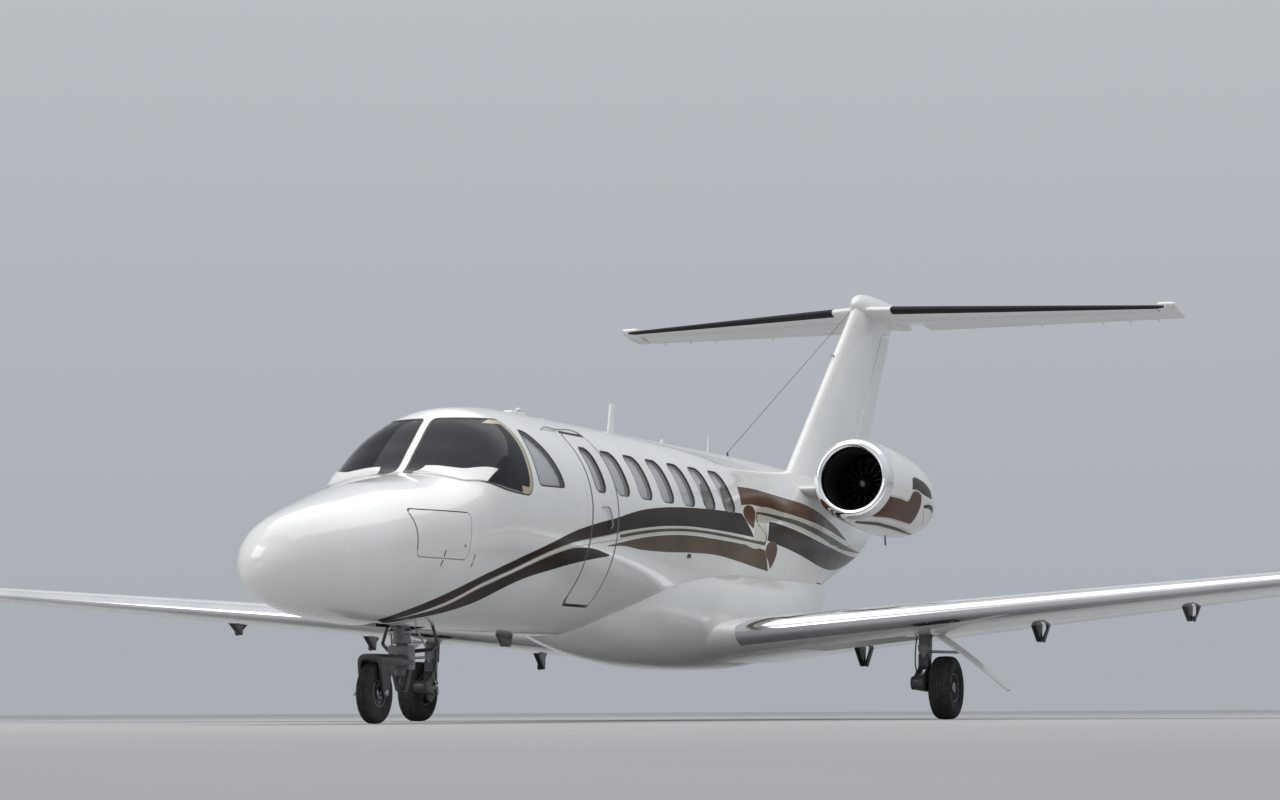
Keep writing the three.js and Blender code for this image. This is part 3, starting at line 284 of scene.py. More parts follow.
def new_piece(name, verts, faces, *materials):
    mesh = new_mesh(name, [tuple(v) for v in verts], [tuple(f) for f in faces], materials)
    outward(mesh)
    return new_object(name, mesh)


def outward(mesh):
    shape = bmesh.new()
    shape.from_mesh(mesh)
    bmesh.ops.recalc_face_normals(shape, faces=shape.faces)
    shape.to_mesh(mesh)
    shape.free()


def settle(piece):
    """Turns the piece's modifiers into plain mesh."""
    graph = bpy.context.evaluated_depsgraph_get()
    mesh = bpy.data.meshes.new_from_object(piece.evaluated_get(graph))
    piece.modifiers.clear()
    old = piece.data
    piece.data = mesh
    bpy.data.meshes.remove(old)
    return piece


def remove(piece):
    mesh = piece.data
    bpy.data.objects.remove(piece)
    bpy.data.meshes.remove(mesh)


def combine(piece, operation, tools):
    for tool in tools:
        step = piece.modifiers.new("combine", "BOOLEAN")
        step.operation = operation
        step.solver = "MANIFOLD"
        step.object = tool
    settle(piece)
    for tool in tools:
        remove(tool)
    return piece


def carve(piece, *tools):
    return combine(piece, "DIFFERENCE", tools)


def keep(piece, *tools):
    return combine(piece, "INTERSECT", tools)


def join(name, pieces):
    """One piece of several, which keep their own materials."""
    verts = []
    faces = []
    marks = []
    smooth = []
    materials = []
    for piece in pieces:
        start = len(verts)
        verts.extend(v.co[:] for v in piece.data.vertices)
        for face in piece.data.polygons:
            faces.append([start + i for i in face.vertices])
            material = piece.data.materials[face.material_index]
            if material not in materials:
                materials.append(material)
            marks.append(materials.index(material))
            smooth.append(face.use_smooth)
        remove(piece)
    mesh = new_mesh(name, verts, faces, materials)
    mesh.polygons.foreach_set("material_index", marks)
    mesh.polygons.foreach_set("use_smooth", smooth)
    mesh.update()
    return new_object(name, mesh)


def mirrored(piece, name):
    verts = [(-v.co.x, v.co.y, v.co.z) for v in piece.data.vertices]
    faces = [list(reversed(face.vertices)) for face in piece.data.polygons]
    mesh = new_mesh(name, verts, faces, piece.data.materials)
    mesh.polygons.foreach_set("material_index", [face.material_index for face in piece.data.polygons])
    mesh.update()
    return new_object(name, mesh)


def on_side(piece, side):
    """The piece itself on the left, or its mirror image instead of it on the right."""
    if side > 0:
        return piece
    twin = mirrored(piece, "twin")
    remove(piece)
    return twin


def soften(piece, degrees=35):
    piece.data.shade_smooth()
    piece.data.set_sharp_from_angle(angle=math.radians(degrees))
    return piece


def bevelled(piece, width, segments=2, degrees=40):
    step = piece.modifiers.new("bevel", "BEVEL")
    step.width = width
    step.segments = segments
    step.limit_method = "ANGLE"
    step.angle_limit = math.radians(degrees)
    settle(piece)
    return soften(piece)


def place(piece, body, slot, *nodes):
    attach(piece, body)
    if nodes:
        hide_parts(*nodes)
    return piece


def finish(piece, name, degrees, body, slot, *nodes):
    """Names a piece, smooths its edges below an angle and places it."""
    piece.name = name
    soften(piece, degrees)
    return place(piece, body, slot, *nodes)


def loft(name, rings, *materials):
    """A closed body through rings of equal length, with its two ends filled."""
    rings = np.asarray(rings)
    rows, count = rings.shape[:2]
    faces = []
    for r in range(rows - 1):
        for i in range(count):
            j = (i + 1) % count
            faces.append((r * count + i, r * count + j, (r + 1) * count + j, (r + 1) * count + i))
    faces.append(tuple(range(count)))
    faces.append(tuple(range((rows - 1) * count, rows * count)))
    return new_piece(name, rings.reshape(-1, 3), faces, *materials)


def sheet_body(name, top, bottom, *materials):
    """A closed sheet between two grids of points."""
    rows, cols = top.shape[:2]
    size = rows * cols
    verts = np.concatenate([top.reshape(-1, 3), bottom.reshape(-1, 3)])
    faces = []
    for r in range(rows - 1):
        for c in range(cols - 1):
            a = r * cols + c
            faces.append((a, a + 1, a + cols + 1, a + cols))
            faces.append((size + a, size + a + cols, size + a + cols + 1, size + a + 1))
    edge = list(range(cols))
    edge += [r * cols + cols - 1 for r in range(1, rows)]
    edge += [(rows - 1) * cols + c for c in range(cols - 2, -1, -1)]
    edge += [r * cols for r in range(rows - 2, 0, -1)]
    for a, b in zip(edge, edge[1:] + edge[:1]):
        faces.append((a, b, size + b, size + a))
    return new_piece(name, verts, faces, *materials)


def box(name, x0, x1, y0, y1, z0, z1, *materials):
    corners = [(x, y, z) for z in (z0, z1) for y in (y0, y1) for x in (x0, x1)]
    faces = [(0, 2, 3, 1), (4, 5, 7, 6), (0, 1, 5, 4), (2, 6, 7, 3), (0, 4, 6, 2), (1, 3, 7, 5)]
    return new_piece(name, corners, faces, *materials)


def basis(direction):
    along = Vector(direction).normalized()
    side = along.cross(Vector((0, 0, 1)))
    if side.length < 1e-6:
        side = Vector((1, 0, 0))
    side.normalize()
    return along, side, along.cross(side)


def turned_rings(profile, origin, direction, sides):
    along, side, up = (np.array(v) for v in basis(direction))
    angles = 2 * np.pi * np.arange(sides) / sides
    around = np.cos(angles)[:, None] * side + np.sin(angles)[:, None] * up
    profile = np.asarray(profile, float)
    return np.array(origin) + profile[:, 0, None, None] * around[None] + profile[:, 1, None, None] * along


def turned(name, profile, origin, direction, sides, *materials):
    """A profile of (radius, along) pairs turned about an axis that starts at the origin."""
    return loft(name, turned_rings(profile, origin, direction, sides), *materials)


def turned_loop(name, profile, origin, direction, sides, *materials):
    """A closed profile loop turned into a ring with a hole through it."""
    rings = turned_rings(profile, origin, direction, sides)
    rows = len(profile)
    faces = []
    for r in range(rows):
        for i in range(sides):
            j = (i + 1) % sides
            n = (r + 1) % rows
            faces.append((r * sides + i, r * sides + j, n * sides + j, n * sides + i))
    return new_piece(name, rings.reshape(-1, 3), faces, *materials)


def rod(name, start, end, radius, *materials, sides=24, end_radius=None):
    start = Vector(start)
    end = Vector(end)
    length = (end - start).length
    last = radius if end_radius is None else end_radius
    lip = min(radius, last) * 0.12
    profile = [(radius - lip, 0), (radius, lip), (last, length - lip), (last - lip, length)]
    return turned(name, profile, start, end - start, sides, *materials)


def plate(name, plane, outline, low, high, *materials):
    """An outline drawn in one plane and pushed along the third axis."""
    order = {"yz": (2, 0, 1), "xz": (0, 2, 1), "xy": (0, 1, 2)}[plane]
    rings = []
    for w in (low, high):
        ring = [(u, v, w) for u, v in outline]
        rings.append([tuple(p[i] for i in order) for p in ring])
    return loft(name, rings, *materials)


def hermite(u, span, start, end, slope_in, slope_out):
    """A cubic curve from start to end with known slopes, as u goes from 0 to 1 over a span."""
    return (
        (2 * u**3 - 3 * u**2 + 1) * start + (u**3 - 2 * u**2 + u) * span * slope_in
        + (-2 * u**3 + 3 * u**2) * end + (u**3 - u**2) * span * slope_out
    )


def smooth_path(points, count, weights=None):
    """Evenly spaced points of a smooth curve through the given points."""
    points = np.asarray(points, float)
    scale = np.ones(points.shape[1]) if weights is None else np.asarray(weights)
    steps = np.linalg.norm(np.diff(points * scale, axis=0), axis=1)
    t = np.concatenate([[0], np.cumsum(steps)])
    slopes = np.diff(points, axis=0) / np.diff(t)[:, None]
    tangents = np.empty_like(points)
    tangents[0] = slopes[0]
    tangents[-1] = slopes[-1]
    before = np.diff(t)[:-1, None]
    after = np.diff(t)[1:, None]
    tangents[1:-1] = (slopes[:-1] * after + slopes[1:] * before) / (before + after)
    want = np.linspace(0, t[-1], count)
    k = np.clip(np.searchsorted(t, want, side="right") - 1, 0, len(t) - 2)
    span = (t[k + 1] - t[k])[:, None]
    u = ((want - t[k]) / (t[k + 1] - t[k]))[:, None]
    return hermite(u, span, points[k], points[k + 1], tangents[k], tangents[k + 1])


def tube(name, points, radius, material, sides=10):
    """A round tube along a smooth curve."""
    path = smooth_path(points, len(points) * 6)
    rings = []
    side = Vector((0, 0, 1))
    for i, point in enumerate(path):
        ahead = Vector(path[min(i + 1, len(path) - 1)] - path[max(i - 1, 0)]).normalized()
        side = side - ahead * side.dot(ahead)
        if side.length < 1e-4:
            side = ahead.orthogonal()
        side.normalize()
        up = ahead.cross(side)
        ring = []
        for j in range(sides):
            a = 2 * math.pi * j / sides
            ring.append(Vector(point) + radius * (math.cos(a) * side + math.sin(a) * up))
        rings.append(ring)
    return soften(loft(name, np.array(rings), material), 50)


def rounded_outline(u, v, half_u, half_v, radius, steps):
    points = []
    for su, sv, quarter in ((1, 1, 0), (-1, 1, 1), (-1, -1, 2), (1, -1, 3)):
        for i in range(steps + 1):
            a = (quarter + i / steps) * math.pi / 2
            points.append((
                u + su * (half_u - radius) + radius * math.cos(a),
                v + sv * (half_v - radius) + radius * math.sin(a),
            ))
    return points


# The hull's own shape, from the same table as the part
SECTIONS = np.array([
    # station, half width, top, middle, bottom, fullness above the middle
    (0.000, 0.000, 1.125, 1.125, 1.125, 2.00),
    (0.060, 0.160, 1.270, 1.118, 0.990, 2.00),
    (0.250, 0.300, 1.430, 1.135, 0.868, 2.00),
    (0.600, 0.420, 1.550, 1.190, 0.788, 2.00),
    (1.000, 0.522, 1.650, 1.270, 0.748, 2.00),
    (1.550, 0.640, 1.775, 1.375, 0.722, 2.10),
    (1.950, 0.702, 1.850, 1.450, 0.715, 2.20),
    (2.225, 0.735, 1.905, 1.520, 0.712, 2.50),
    (2.480, 0.760, 2.115, 1.590, 0.711, 2.60),
    (2.760, 0.783, 2.350, 1.645, 0.710, 2.40),
    (3.050, 0.800, 2.462, 1.675, 0.710, 2.15),
    (3.700, 0.815, 2.505, 1.690, 0.710, 2.00),
    (8.500, 0.815, 2.505, 1.690, 0.710, 2.00),
    (9.500, 0.785, 2.500, 1.715, 0.850, 2.00),
    (10.500, 0.700, 2.485, 1.780, 1.060, 2.00),
    (11.500, 0.575, 2.460, 1.870, 1.310, 2.00),
    (12.500, 0.425, 2.425, 1.975, 1.570, 2.00),
    (13.200, 0.270, 2.390, 2.080, 1.810, 2.00),
    (13.900, 0.110, 2.335, 2.180, 2.050, 2.00),
])
NOSE_JOIN = 0.550
COCKPIT_START = 2.150
CABIN_START = 4.000
CABIN_END = 8.900
TAIL_CONE_START = 12.300
TAIL_END = 13.900
WALL = 0.080


def column(index, station):
    """A smooth curve through one column that never overshoots its points."""
    xs = np.sqrt(SECTIONS[:, 0])
    ys = SECTIONS[:, index]
    slopes = np.diff(ys) / np.diff(xs)
    before = slopes[:-1]
    after = slopes[1:]
    turning = before * after <= 0
    safe = np.where(turning, 1.0, before)
    safe_after = np.where(turning, 1.0, after)
    inner = np.where(turning, 0.0, 2 / (1 / safe + 1 / safe_after))
    tangents = np.concatenate([[slopes[0]], inner, [slopes[-1]]])
    x = np.sqrt(np.clip(station, SECTIONS[0, 0], SECTIONS[-1, 0]))
    k = np.clip(np.searchsorted(xs, x, side="right") - 1, 0, len(xs) - 2)
    span = xs[k + 1] - xs[k]
    u = (x - xs[k]) / span
    return hermite(u, span, ys[k], ys[k + 1], tangents[k], tangents[k + 1])


def skin_points(stations, angles, offset=0.0):
    """Points of the hull's skin at angles up from the left side, moved out by an offset."""
    stations, angles = np.broadcast_arrays(np.asarray(stations, float), np.asarray(angles, float))
    width, top, middle, bottom, fullness = (column(i, stations) for i in range(1, 6))
    c = np.cos(angles)
    s = np.sin(angles)
    power = np.where(s > 0, 2 / fullness, 1.0)
    x = (width + offset) * np.sign(c) * np.abs(c) ** power
    upper = (top - middle + offset) * np.abs(s) ** power
    lower = (middle - bottom + offset) * s
    return np.stack([x, at(stations), middle + np.where(s > 0, upper, lower)], axis=-1)


def hull_level(points):
    """How far out points are, where 1 is the skin."""
    station = points[:, 1] + MIDDLE
    width, top, middle, bottom, fullness = (column(i, station) for i in range(1, 6))
    rise = points[:, 2] - middle
    height = np.where(rise > 0, top - middle, middle - bottom)
    power = np.where(rise > 0, fullness, 2.0)
    return np.abs(points[:, 0] / width) ** power + np.abs(rise / height) ** power


def hull_normals(points):
    step = 0.0005
    slopes = []
    for axis in range(3):
        shift = np.zeros(3)
        shift[axis] = step
        slopes.append(hull_level(points + shift) - hull_level(points - shift))
    slopes = np.stack(slopes, axis=-1)
    return slopes / np.maximum(np.linalg.norm(slopes, axis=1), 1e-12)[:, None]


def shade_by(piece, normals_at, agree=0.94):
    """Gives faces that lie along a known surface its exact normals, and leaves the rest flat."""
    mesh = piece.data
    count = len(mesh.polygons)
    face_normals = np.empty(count * 3)
    centres = np.empty(count * 3)
    starts = np.empty(count, int)
    totals = np.empty(count, int)
    mesh.polygons.foreach_get("normal", face_normals)
    mesh.polygons.foreach_get("center", centres)
    mesh.polygons.foreach_get("loop_start", starts)
    mesh.polygons.foreach_get("loop_total", totals)
    face_normals = face_normals.reshape(-1, 3)
    vertex = np.empty(len(mesh.loops), int)
    mesh.loops.foreach_get("vertex_index", vertex)
    places = np.empty(len(mesh.vertices) * 3)
    mesh.vertices.foreach_get("co", places)
    places = places.reshape(-1, 3)
    facing = np.sum(normals_at(centres.reshape(-1, 3)) * face_normals, axis=1)
    owner = np.repeat(np.arange(count), totals)
    surface = normals_at(places[vertex])
    along = np.abs(facing[owner]) > agree
    normals = np.where(along[:, None], surface * np.sign(facing[owner])[:, None], face_normals[owner])
    mesh.shade_smooth()
    mesh.normals_split_custom_set(normals)
    return piece


def line_inside(piece, material, level):
    """Gives the faces on the inner side of a shell another material."""
    return paint_faces(piece, material, lambda centres: hull_level(centres) < level)


def paint_faces(piece, material, chosen):
    """Gives another material to the faces whose centres are chosen."""
    mesh = piece.data
    centres = np.array([face.center[:] for face in mesh.polygons])
    mesh.materials.append(material)
    marks = np.array([face.material_index for face in mesh.polygons])
    marks[chosen(centres)] = len(mesh.materials) - 1
    mesh.polygons.foreach_set("material_index", marks.tolist())
    return piece


NOSE_RINGS = 26
FRONT_STEP = 0.045
STRAIGHT_START = 3.75
STRAIGHT_STEP = 0.5
REAR_START = 8.6
REAR_STEP = 0.12
LEAST_STEP = 0.008


def hull_stations(start, end):
    """Where the hull's rings stand: close together at the nose and far apart along the straight cabin."""
    every = [NOSE_CAP + (NOSE_JOIN - NOSE_CAP) * (i / NOSE_RINGS) ** 2 for i in range(NOSE_RINGS + 1)]
    every += list(np.arange(NOSE_JOIN + FRONT_STEP, STRAIGHT_START, FRONT_STEP))
    every += [STRAIGHT_START + STRAIGHT_STEP * i for i in range(10)]
    every += list(np.arange(REAR_START, TAIL_END, REAR_STEP))
    inside = [s for s in every if start + LEAST_STEP < s < end - LEAST_STEP]
    return np.array([start, *inside, end])


AROUND = 96


def hull_body(start, end, offset=0.0, *materials):
    angles = 2 * np.pi * np.arange(AROUND) / AROUND
    stations = hull_stations(start, end)
    return loft("hull", skin_points(stations[:, None], angles[None], offset), *materials)


def hull_band(start, end, outer, inner, *materials):
    """A tube of skin between two offsets."""
    past = 0.01
    low = max(NOSE_CAP, start - past)
    band = hull_body(start, end, outer, *materials)
    return carve(band, hull_body(low, min(end + past, TAIL_END), inner))


# Windows and doors in the hull
WINDOW = {
    "low": 1.845, "high": 2.225, "half": 0.155, "corner": 0.085,
    "pitch": 0.503, "first": 4.82, "count": 6,
}
DOOR = {"hinge_x": 0.838, "hinge": 4.104, "front": 4.112, "back": 4.650, "low": 0.945, "high": 2.335}
DOOR_THICK = 0.060
DOOR_WINDOW = {"centre": 4.335, "half": 0.120, "corner": 0.08}
NOSE_DOOR = {"from": 1.330, "to": 2.010, "low": 1.215, "high": 1.560, "thick": 0.016}
TAIL_DOOR = {"from": 10.350, "to": 11.000, "low": 1.330, "high": 1.690, "thick": 0.016}
SWING_GAP = 0.008
# How far out a prism through the hull's side reaches, and the gaps between pieces that fit together
FAR = 1.5
FIT_GAP = 0.0003
CLEAR = 0.0005
PANE_INSET = -0.0005
# Open joints between the hull's sections
JOINT_AHEAD = 0.0003
JOINT_BEHIND = 0.0002
CABIN_JOINT = 0.0008
CONE_JOINT = 0.0012
# The stretches of hull that panes, seals and doors are cut from, as first and last station
NOSE_SPAN = (1.0, 2.3)
WINDSHIELD_SPAN = (2.08, 3.2)
BAND_SPAN = (2.7, 3.2)
SIDE_WINDOW_SPAN = (2.9, 3.8)
DOOR_SPAN = (3.9, 4.8)
TAIL_SPAN = (9.5, 12.0)
# How far the outer and inner faces of such pieces stand out of the skin
THICK_PANE = (-0.002, -0.020)
THICK_SEAL = (0.0008, -0.024)
THIN_PANE = (-0.005, -0.014)
THIN_SEAL = (0.0004, -0.018)
SHADE_DEPTH = (-0.034, -0.038)
BAND_DEPTH = (-0.0004, -0.0030)
# Depths and width of the dark bands beside the cabin door's gap, which are painted shadow
DOOR_SHADOW_DEPTH = (0.0024, -0.004)
DOOR_SHADOW_WIDTH = 0.007
WINDSHIELD = [
    (0.034, 1.897), (0.034, 2.356), (0.300, 2.354), (0.950, 2.358),
    (0.950, 1.722), (0.790, 1.736), (0.717, 1.800), (0.550, 1.850), (0.400, 1.872), (0.193, 1.886),
]
# The windshield's curved rear edge seen from the left
WINDSHIELD_REAR = [
    (3.010, 2.450), (3.060, 2.340), (3.055, 2.260), (3.035, 2.128),
    (3.008, 2.013), (2.993, 1.900), (2.972, 1.810), (2.935, 1.764), (2.860, 1.730), (2.780, 1.650),
]
# The white fairing that stands up over each pane's lower edge: upper station and angle, then lower
DUCT_FAIRING = [
    (2.300, 80.0, 2.165, 82.0), (2.309, 72.0, 2.160, 74.0), (2.312, 66.0, 2.165, 68.0),
    (2.336, 54.6, 2.190, 58.0), (2.395, 45.0, 2.225, 48.0), (2.462, 36.5, 2.290, 40.0),
    (2.529, 28.9, 2.363, 29.5),
]
COCKPIT_WINDOW = [
    (3.105, 1.830), (3.090, 1.950), (3.120, 2.150), (3.205, 2.290),
    (3.330, 2.270), (3.470, 2.120), (3.560, 1.950), (3.585, 1.840),
]


def rounded_polygon(points, radius, steps=5):
    """A polygon whose corners are rounded off."""
    rounded = []
    count = len(points)
    for i in range(count):
        before = Vector(points[i - 1])
        corner = Vector(points[i])
        after = Vector(points[(i + 1) % count])
        back = before - corner
        ahead = after - corner
        reach = min(radius, back.length * 0.45, ahead.length * 0.45)
        start = corner + back.normalized() * reach
        end = corner + ahead.normalized() * reach
        for k in range(steps + 1):
            t = k / steps
            rounded.append(tuple((1 - t) ** 2 * start + 2 * t * (1 - t) * corner + t * t * end))
    return rounded


def grown(outline, distance):
    """An outline moved outwards by a distance."""
    points = [Vector(p) for p in outline]
    count = len(points)
    area = sum(points[i - 1].x * points[i].y - points[i].x * points[i - 1].y for i in range(count))
    sign = 1 if area > 0 else -1
    moved = []
    for i in range(count):
        along = (points[(i + 1) % count] - points[i - 1]).normalized()
        moved.append(tuple(points[i] + sign * distance * Vector((along.y, -along.x))))
    return moved


def windshield_prism(grow=0.0, side=1):
    outline = grown(rounded_polygon(WINDSHIELD, 0.04), grow)
    front = plate("prism", "xz", [(side * x, z) for x, z in outline], at(2.0), at(3.2))
    rear = [(float(s), float(z)) for s, z in smooth_path(WINDSHIELD_REAR, 48)]
    rear = grown([(1.9, 1.650), (1.9, 2.450), *rear], grow)
    return keep(front, side_prism([(at(s), z) for s, z in rear], side, 0.0))


def side_prism(outline, side=1, inner=0.3):
    return plate("prism", "yz", outline, side * inner, side * FAR)


def cockpit_window_prism(grow=0.0, side=1):
    outline = grown(rounded_polygon(COCKPIT_WINDOW, 0.05), grow)
    return side_prism([(at(s), z) for s, z in outline], side, 0.25)


def window_outline(centre, half, grow=0.0, corner=None):
    low = WINDOW["low"] - grow
    high = WINDOW["high"] + grow
    radius = (corner or WINDOW["corner"]) + grow
    return rounded_outline(at(centre), (low + high) / 2, half + grow, (high - low) / 2, radius, 8)


def cabin_window_prism(i, grow=0.0, side=1):
    centre = WINDOW["first"] + i * WINDOW["pitch"]
    return side_prism(window_outline(centre, WINDOW["half"], grow), side)


def door_window_prism(grow=0.0):
    d = DOOR_WINDOW
    return side_prism(window_outline(d["centre"], d["half"], grow, d["corner"]))


def door_sweep(extra):
    """The turned outline that the door's aft edge follows, so that it swings clear of its frame."""
    reach = DOOR["back"] - DOOR["hinge"]
    low = 0.85 - extra
    high = 2.45 + extra
    width, top, middle, bottom = (float(column(i, DOOR["back"])) for i in range(1, 5))
    profile = [(0.0005, low)]
    for i in range(25):
        z = low + (high - low) * i / 24
        half = top - middle if z > middle else middle - bottom
        side = width * math.sqrt(max(0.0, 1 - ((z - middle) / half) ** 2))
        profile.append((math.hypot(reach, side - DOOR["hinge_x"]) + extra, z))
    profile.append((0.0005, high))
    return turned("sweep", profile, (DOOR["hinge_x"], at(DOOR["hinge"]), 0), (0, 0, 1), 180)


def door_region(extra):
    past = 0.1
    centre = (DOOR["front"] + DOOR["back"]) / 2
    half_long = (DOOR["back"] - DOOR["front"]) / 2 + extra + past
    half_high = (DOOR["high"] - DOOR["low"]) / 2 + extra
    middle = (DOOR["low"] + DOOR["high"]) / 2
    outline = rounded_outline(at(centre) + past, middle, half_long, half_high, 0.09, 8)
    return keep(side_prism(outline, 1, 0.25), door_sweep(extra))


def panel_prism(door, grow, side=1, back=0.0):
    centre = (door["from"] + back + door["to"]) / 2
    half_long = (door["to"] - door["from"] - back) / 2 + grow
    half_high = (door["high"] - door["low"]) / 2 + grow
    middle = (door["low"] + door["high"]) / 2
    return side_prism(rounded_outline(at(centre), middle, half_long, half_high, 0.04 + grow, 6), side, 0.1)


def bag_bay(door, x0, x1, inset):
    """The bay behind a baggage door."""
    start = at(door["from"] + 0.04)
    end = at(door["to"] - 0.04)
    return box("bay", x0, x1, start, end, door["low"] + inset, door["high"] - inset)


def nose_well():
    """The room through the floor of the nose and the cockpit for the nose gear."""
    return box("well", -0.15, 0.15, at(1.5), at(2.4), 0.5, 0.925)


def behind_door_front(shift=0.0):
    """All that lies aft of the cabin door's front edge."""
    return box("front", 0.25, FAR, at(DOOR["front"] + shift), at(4.9), 0.8, 2.5)


def finish_skin(piece, name, body, *nodes):
    piece.name = name
    shade_by(piece, hull_normals)
    return place(piece, body, "white_paint", *nodes)


def skin_piece(name, prisms, span, depths, material, body, slot, *nodes):
    """A curved piece of skin between two depths, inside the first prism and outside the others."""
    piece = hull_band(*span, *depths, material)
    keep(piece, prisms[0])
    if prisms[1:]:
        carve(piece, *prisms[1:])
    piece.name = name
    shade_by(piece, hull_normals)
    return place(piece, body, slot, *nodes)


def make_nose():
    radome = hull_body(NOSE_CAP, NOSE_JOIN - JOINT_AHEAD, 0.0, WHITE)
    finish_skin(radome, "radome_skin", AIRFRAME, "radome")
    nose = hull_body(NOSE_JOIN + JOINT_BEHIND, COCKPIT_START - JOINT_AHEAD, 0.0, WHITE)
    tools = []
    for side in (1, -1):
        tools.append(carve(panel_prism(NOSE_DOOR, SWING_GAP, side), hull_body(*NOSE_SPAN, -0.0165)))
    room = box(
        "room", -0.9, 0.9, at(NOSE_DOOR["from"] - SWING_GAP), at(NOSE_DOOR["to"] + SWING_GAP),
        NOSE_DOOR["high"] - 0.07, NOSE_DOOR["high"] + SWING_GAP,
    )
    tools.append(keep(room, hull_body(*NOSE_SPAN, -0.013)))
    tools.append(bag_bay(NOSE_DOOR, -0.9, 0.9, 0.02))
    tools.append(nose_well())
    carve(nose, *tools)
    line_inside(nose, BAY_GREY, 0.9)
    finish_skin(nose, "nose_skin", AIRFRAME, "nose_section")
    for side, name in SIDES:
        door = hull_band(*NOSE_SPAN, 0.0, -NOSE_DOOR["thick"], WHITE)
        keep(door, panel_prism(NOSE_DOOR, 0.0, side, 0.006))
        line_inside(door, BAY_GREY, 0.97)
        node = f"nose_baggage_door_{name}"
        finish_skin(door, f"nose_baggage_door_skin_{name}", f"{node}_body", node)


def make_cockpit_shell():
    shell = hull_band(COCKPIT_START + JOINT_BEHIND, CABIN_START - CABIN_JOINT, 0.0, -WALL, WHITE)
    tools = []
    for side in (1, -1):
        tools.append(windshield_prism(0.0, side))
        tools.append(cockpit_window_prism(0.0, side))
    carve(shell, *tools, nose_well())
    line_inside(shell, PANEL_BLACK, 0.95)
    finish_skin(shell, "cockpit_skin", AIRFRAME, "cockpit_shell")
    wall = hull_body(COCKPIT_START + 0.001, COCKPIT_START + 0.04, -0.079, BAY_GREY)
    carve(wall, nose_well())
    finish_skin(wall, "cockpit_front_wall", AIRFRAME)


def make_windshield(side, name):
    skin_piece(
        f"windshield_pane_{name}", [windshield_prism(PANE_INSET, side)], WINDSHIELD_SPAN, THICK_PANE,
        WINDSHIELD_GLASS, AIRFRAME, "glass", f"windshield_{name}",
    )
    ring = [windshield_prism(0.004, side), windshield_prism(-0.007, side)]
    skin_piece(f"windshield_seal_{name}", ring, WINDSHIELD_SPAN, THICK_SEAL, SEAL, AIRFRAME, "dark_metal")
    rear_half = box("rear", side * 0.42, side * FAR, at(2.80), at(3.2), 1.74, 2.4)
    ring = [keep(rear_half, windshield_prism(-0.007, side)), windshield_prism(-0.046, side)]
    skin_piece(f"windshield_band_{name}", ring, BAND_SPAN, BAND_DEPTH, BAND_GOLD, AIRFRAME, "dark_metal")
    duct = on_side(patch(DUCT_FAIRING, WHITE, 0.012, -0.004, 14, 40), side)
    finish_skin(bevelled(duct, 0.004), f"windshield_duct_{name}", AIRFRAME)


def make_cockpit_window(side, name):
    skin_piece(
        f"cockpit_side_pane_{name}", [cockpit_window_prism(PANE_INSET, side)], SIDE_WINDOW_SPAN, THICK_PANE,
        CABIN_GLASS, AIRFRAME, "glass", f"cockpit_window_{name}",
    )
    ring = [cockpit_window_prism(0.004, side), cockpit_window_prism(-0.008, side)]
    skin_piece(
        f"cockpit_window_seal_{name}", ring, SIDE_WINDOW_SPAN, THICK_SEAL, SEAL, AIRFRAME, "dark_metal",
    )
    # A pale curtain behind the side pane: painted reflection that pales the pane like the sky's reflection
    inside = [cockpit_window_prism(-0.012, side)]
    skin_piece(f"cockpit_side_painted_reflection_{name}", inside, SIDE_WINDOW_SPAN, SHADE_DEPTH, SHADE, AIRFRAME, "panel")


def make_cockpit():
    make_cockpit_shell()
    for side, name in SIDES:
        make_windshield(side, name)
        make_cockpit_window(side, name)


def make_cabin():
    shell = hull_band(CABIN_START + CABIN_JOINT, CABIN_END - CABIN_JOINT, 0.0, -WALL, WHITE)
    tools = [door_region(SWING_GAP)]
    for side in (1, -1):
        tools += [cabin_window_prism(i, 0.0, side) for i in range(WINDOW["count"])]
    carve(shell, *tools)
    line_inside(shell, LINING, 0.95)
    finish_skin(shell, "cabin_skin", AIRFRAME, "cabin_shell")
    wall = hull_body(CABIN_END - 0.05, CABIN_END - 0.001, -0.079, LINING)
    finish_skin(wall, "cabin_rear_wall", AIRFRAME)
    for side, name in SIDES:
        for i in range(WINDOW["count"]):
            make_cabin_window(i, side, name)


def make_cabin_window(i, side, name):
    centre = WINDOW["first"] + i * WINDOW["pitch"]
    span = (centre - 0.25, centre + 0.25)
    nodes = [f"cabin_windows_{name}"] if i == 0 else []
    inside = [cabin_window_prism(i, PANE_INSET, side)]
    skin_piece(f"cabin_pane_{name}_{i + 1}", inside, span, THIN_PANE, CABIN_GLASS, AIRFRAME, "glass", *nodes)
    ring = [cabin_window_prism(i, 0.001, side), cabin_window_prism(i, -0.007, side)]
    skin_piece(f"cabin_window_seal_{name}_{i + 1}", ring, span, THIN_SEAL, SEAL, AIRFRAME, "dark_metal")
    shade = shade_outline(centre, WINDOW["half"], WINDOW["corner"])
    prisms = [side_prism(outline, side) for outline in (shade, *raised_part(i, centre))]
    skin_piece(f"window_shade_{name}_{i + 1}", prisms, span, SHADE_DEPTH, SHADE, AIRFRAME, "panel")


def shade_outline(centre, half, corner):
    """A blind's outline, a little ahead of its window's middle so that a dark edge stays behind it."""
    return window_outline(centre - 0.020, half - 0.010, 0.0, corner)


def raised_part(i, centre):
    """What the last two blinds leave open, where the dark cabin shows."""
    if i < WINDOW["count"] - 2:
        return []
    middle = (WINDOW["low"] + WINDOW["high"]) / 2
    low = WINDOW["low"] - 0.05
    back = at(centre + 0.25)
    return [[
        (at(centre - 0.070), low), (back, low), (back, middle + 0.08),
        (at(centre + 0.040), middle + 0.04), (at(centre - 0.010), middle - 0.02),
    ]]


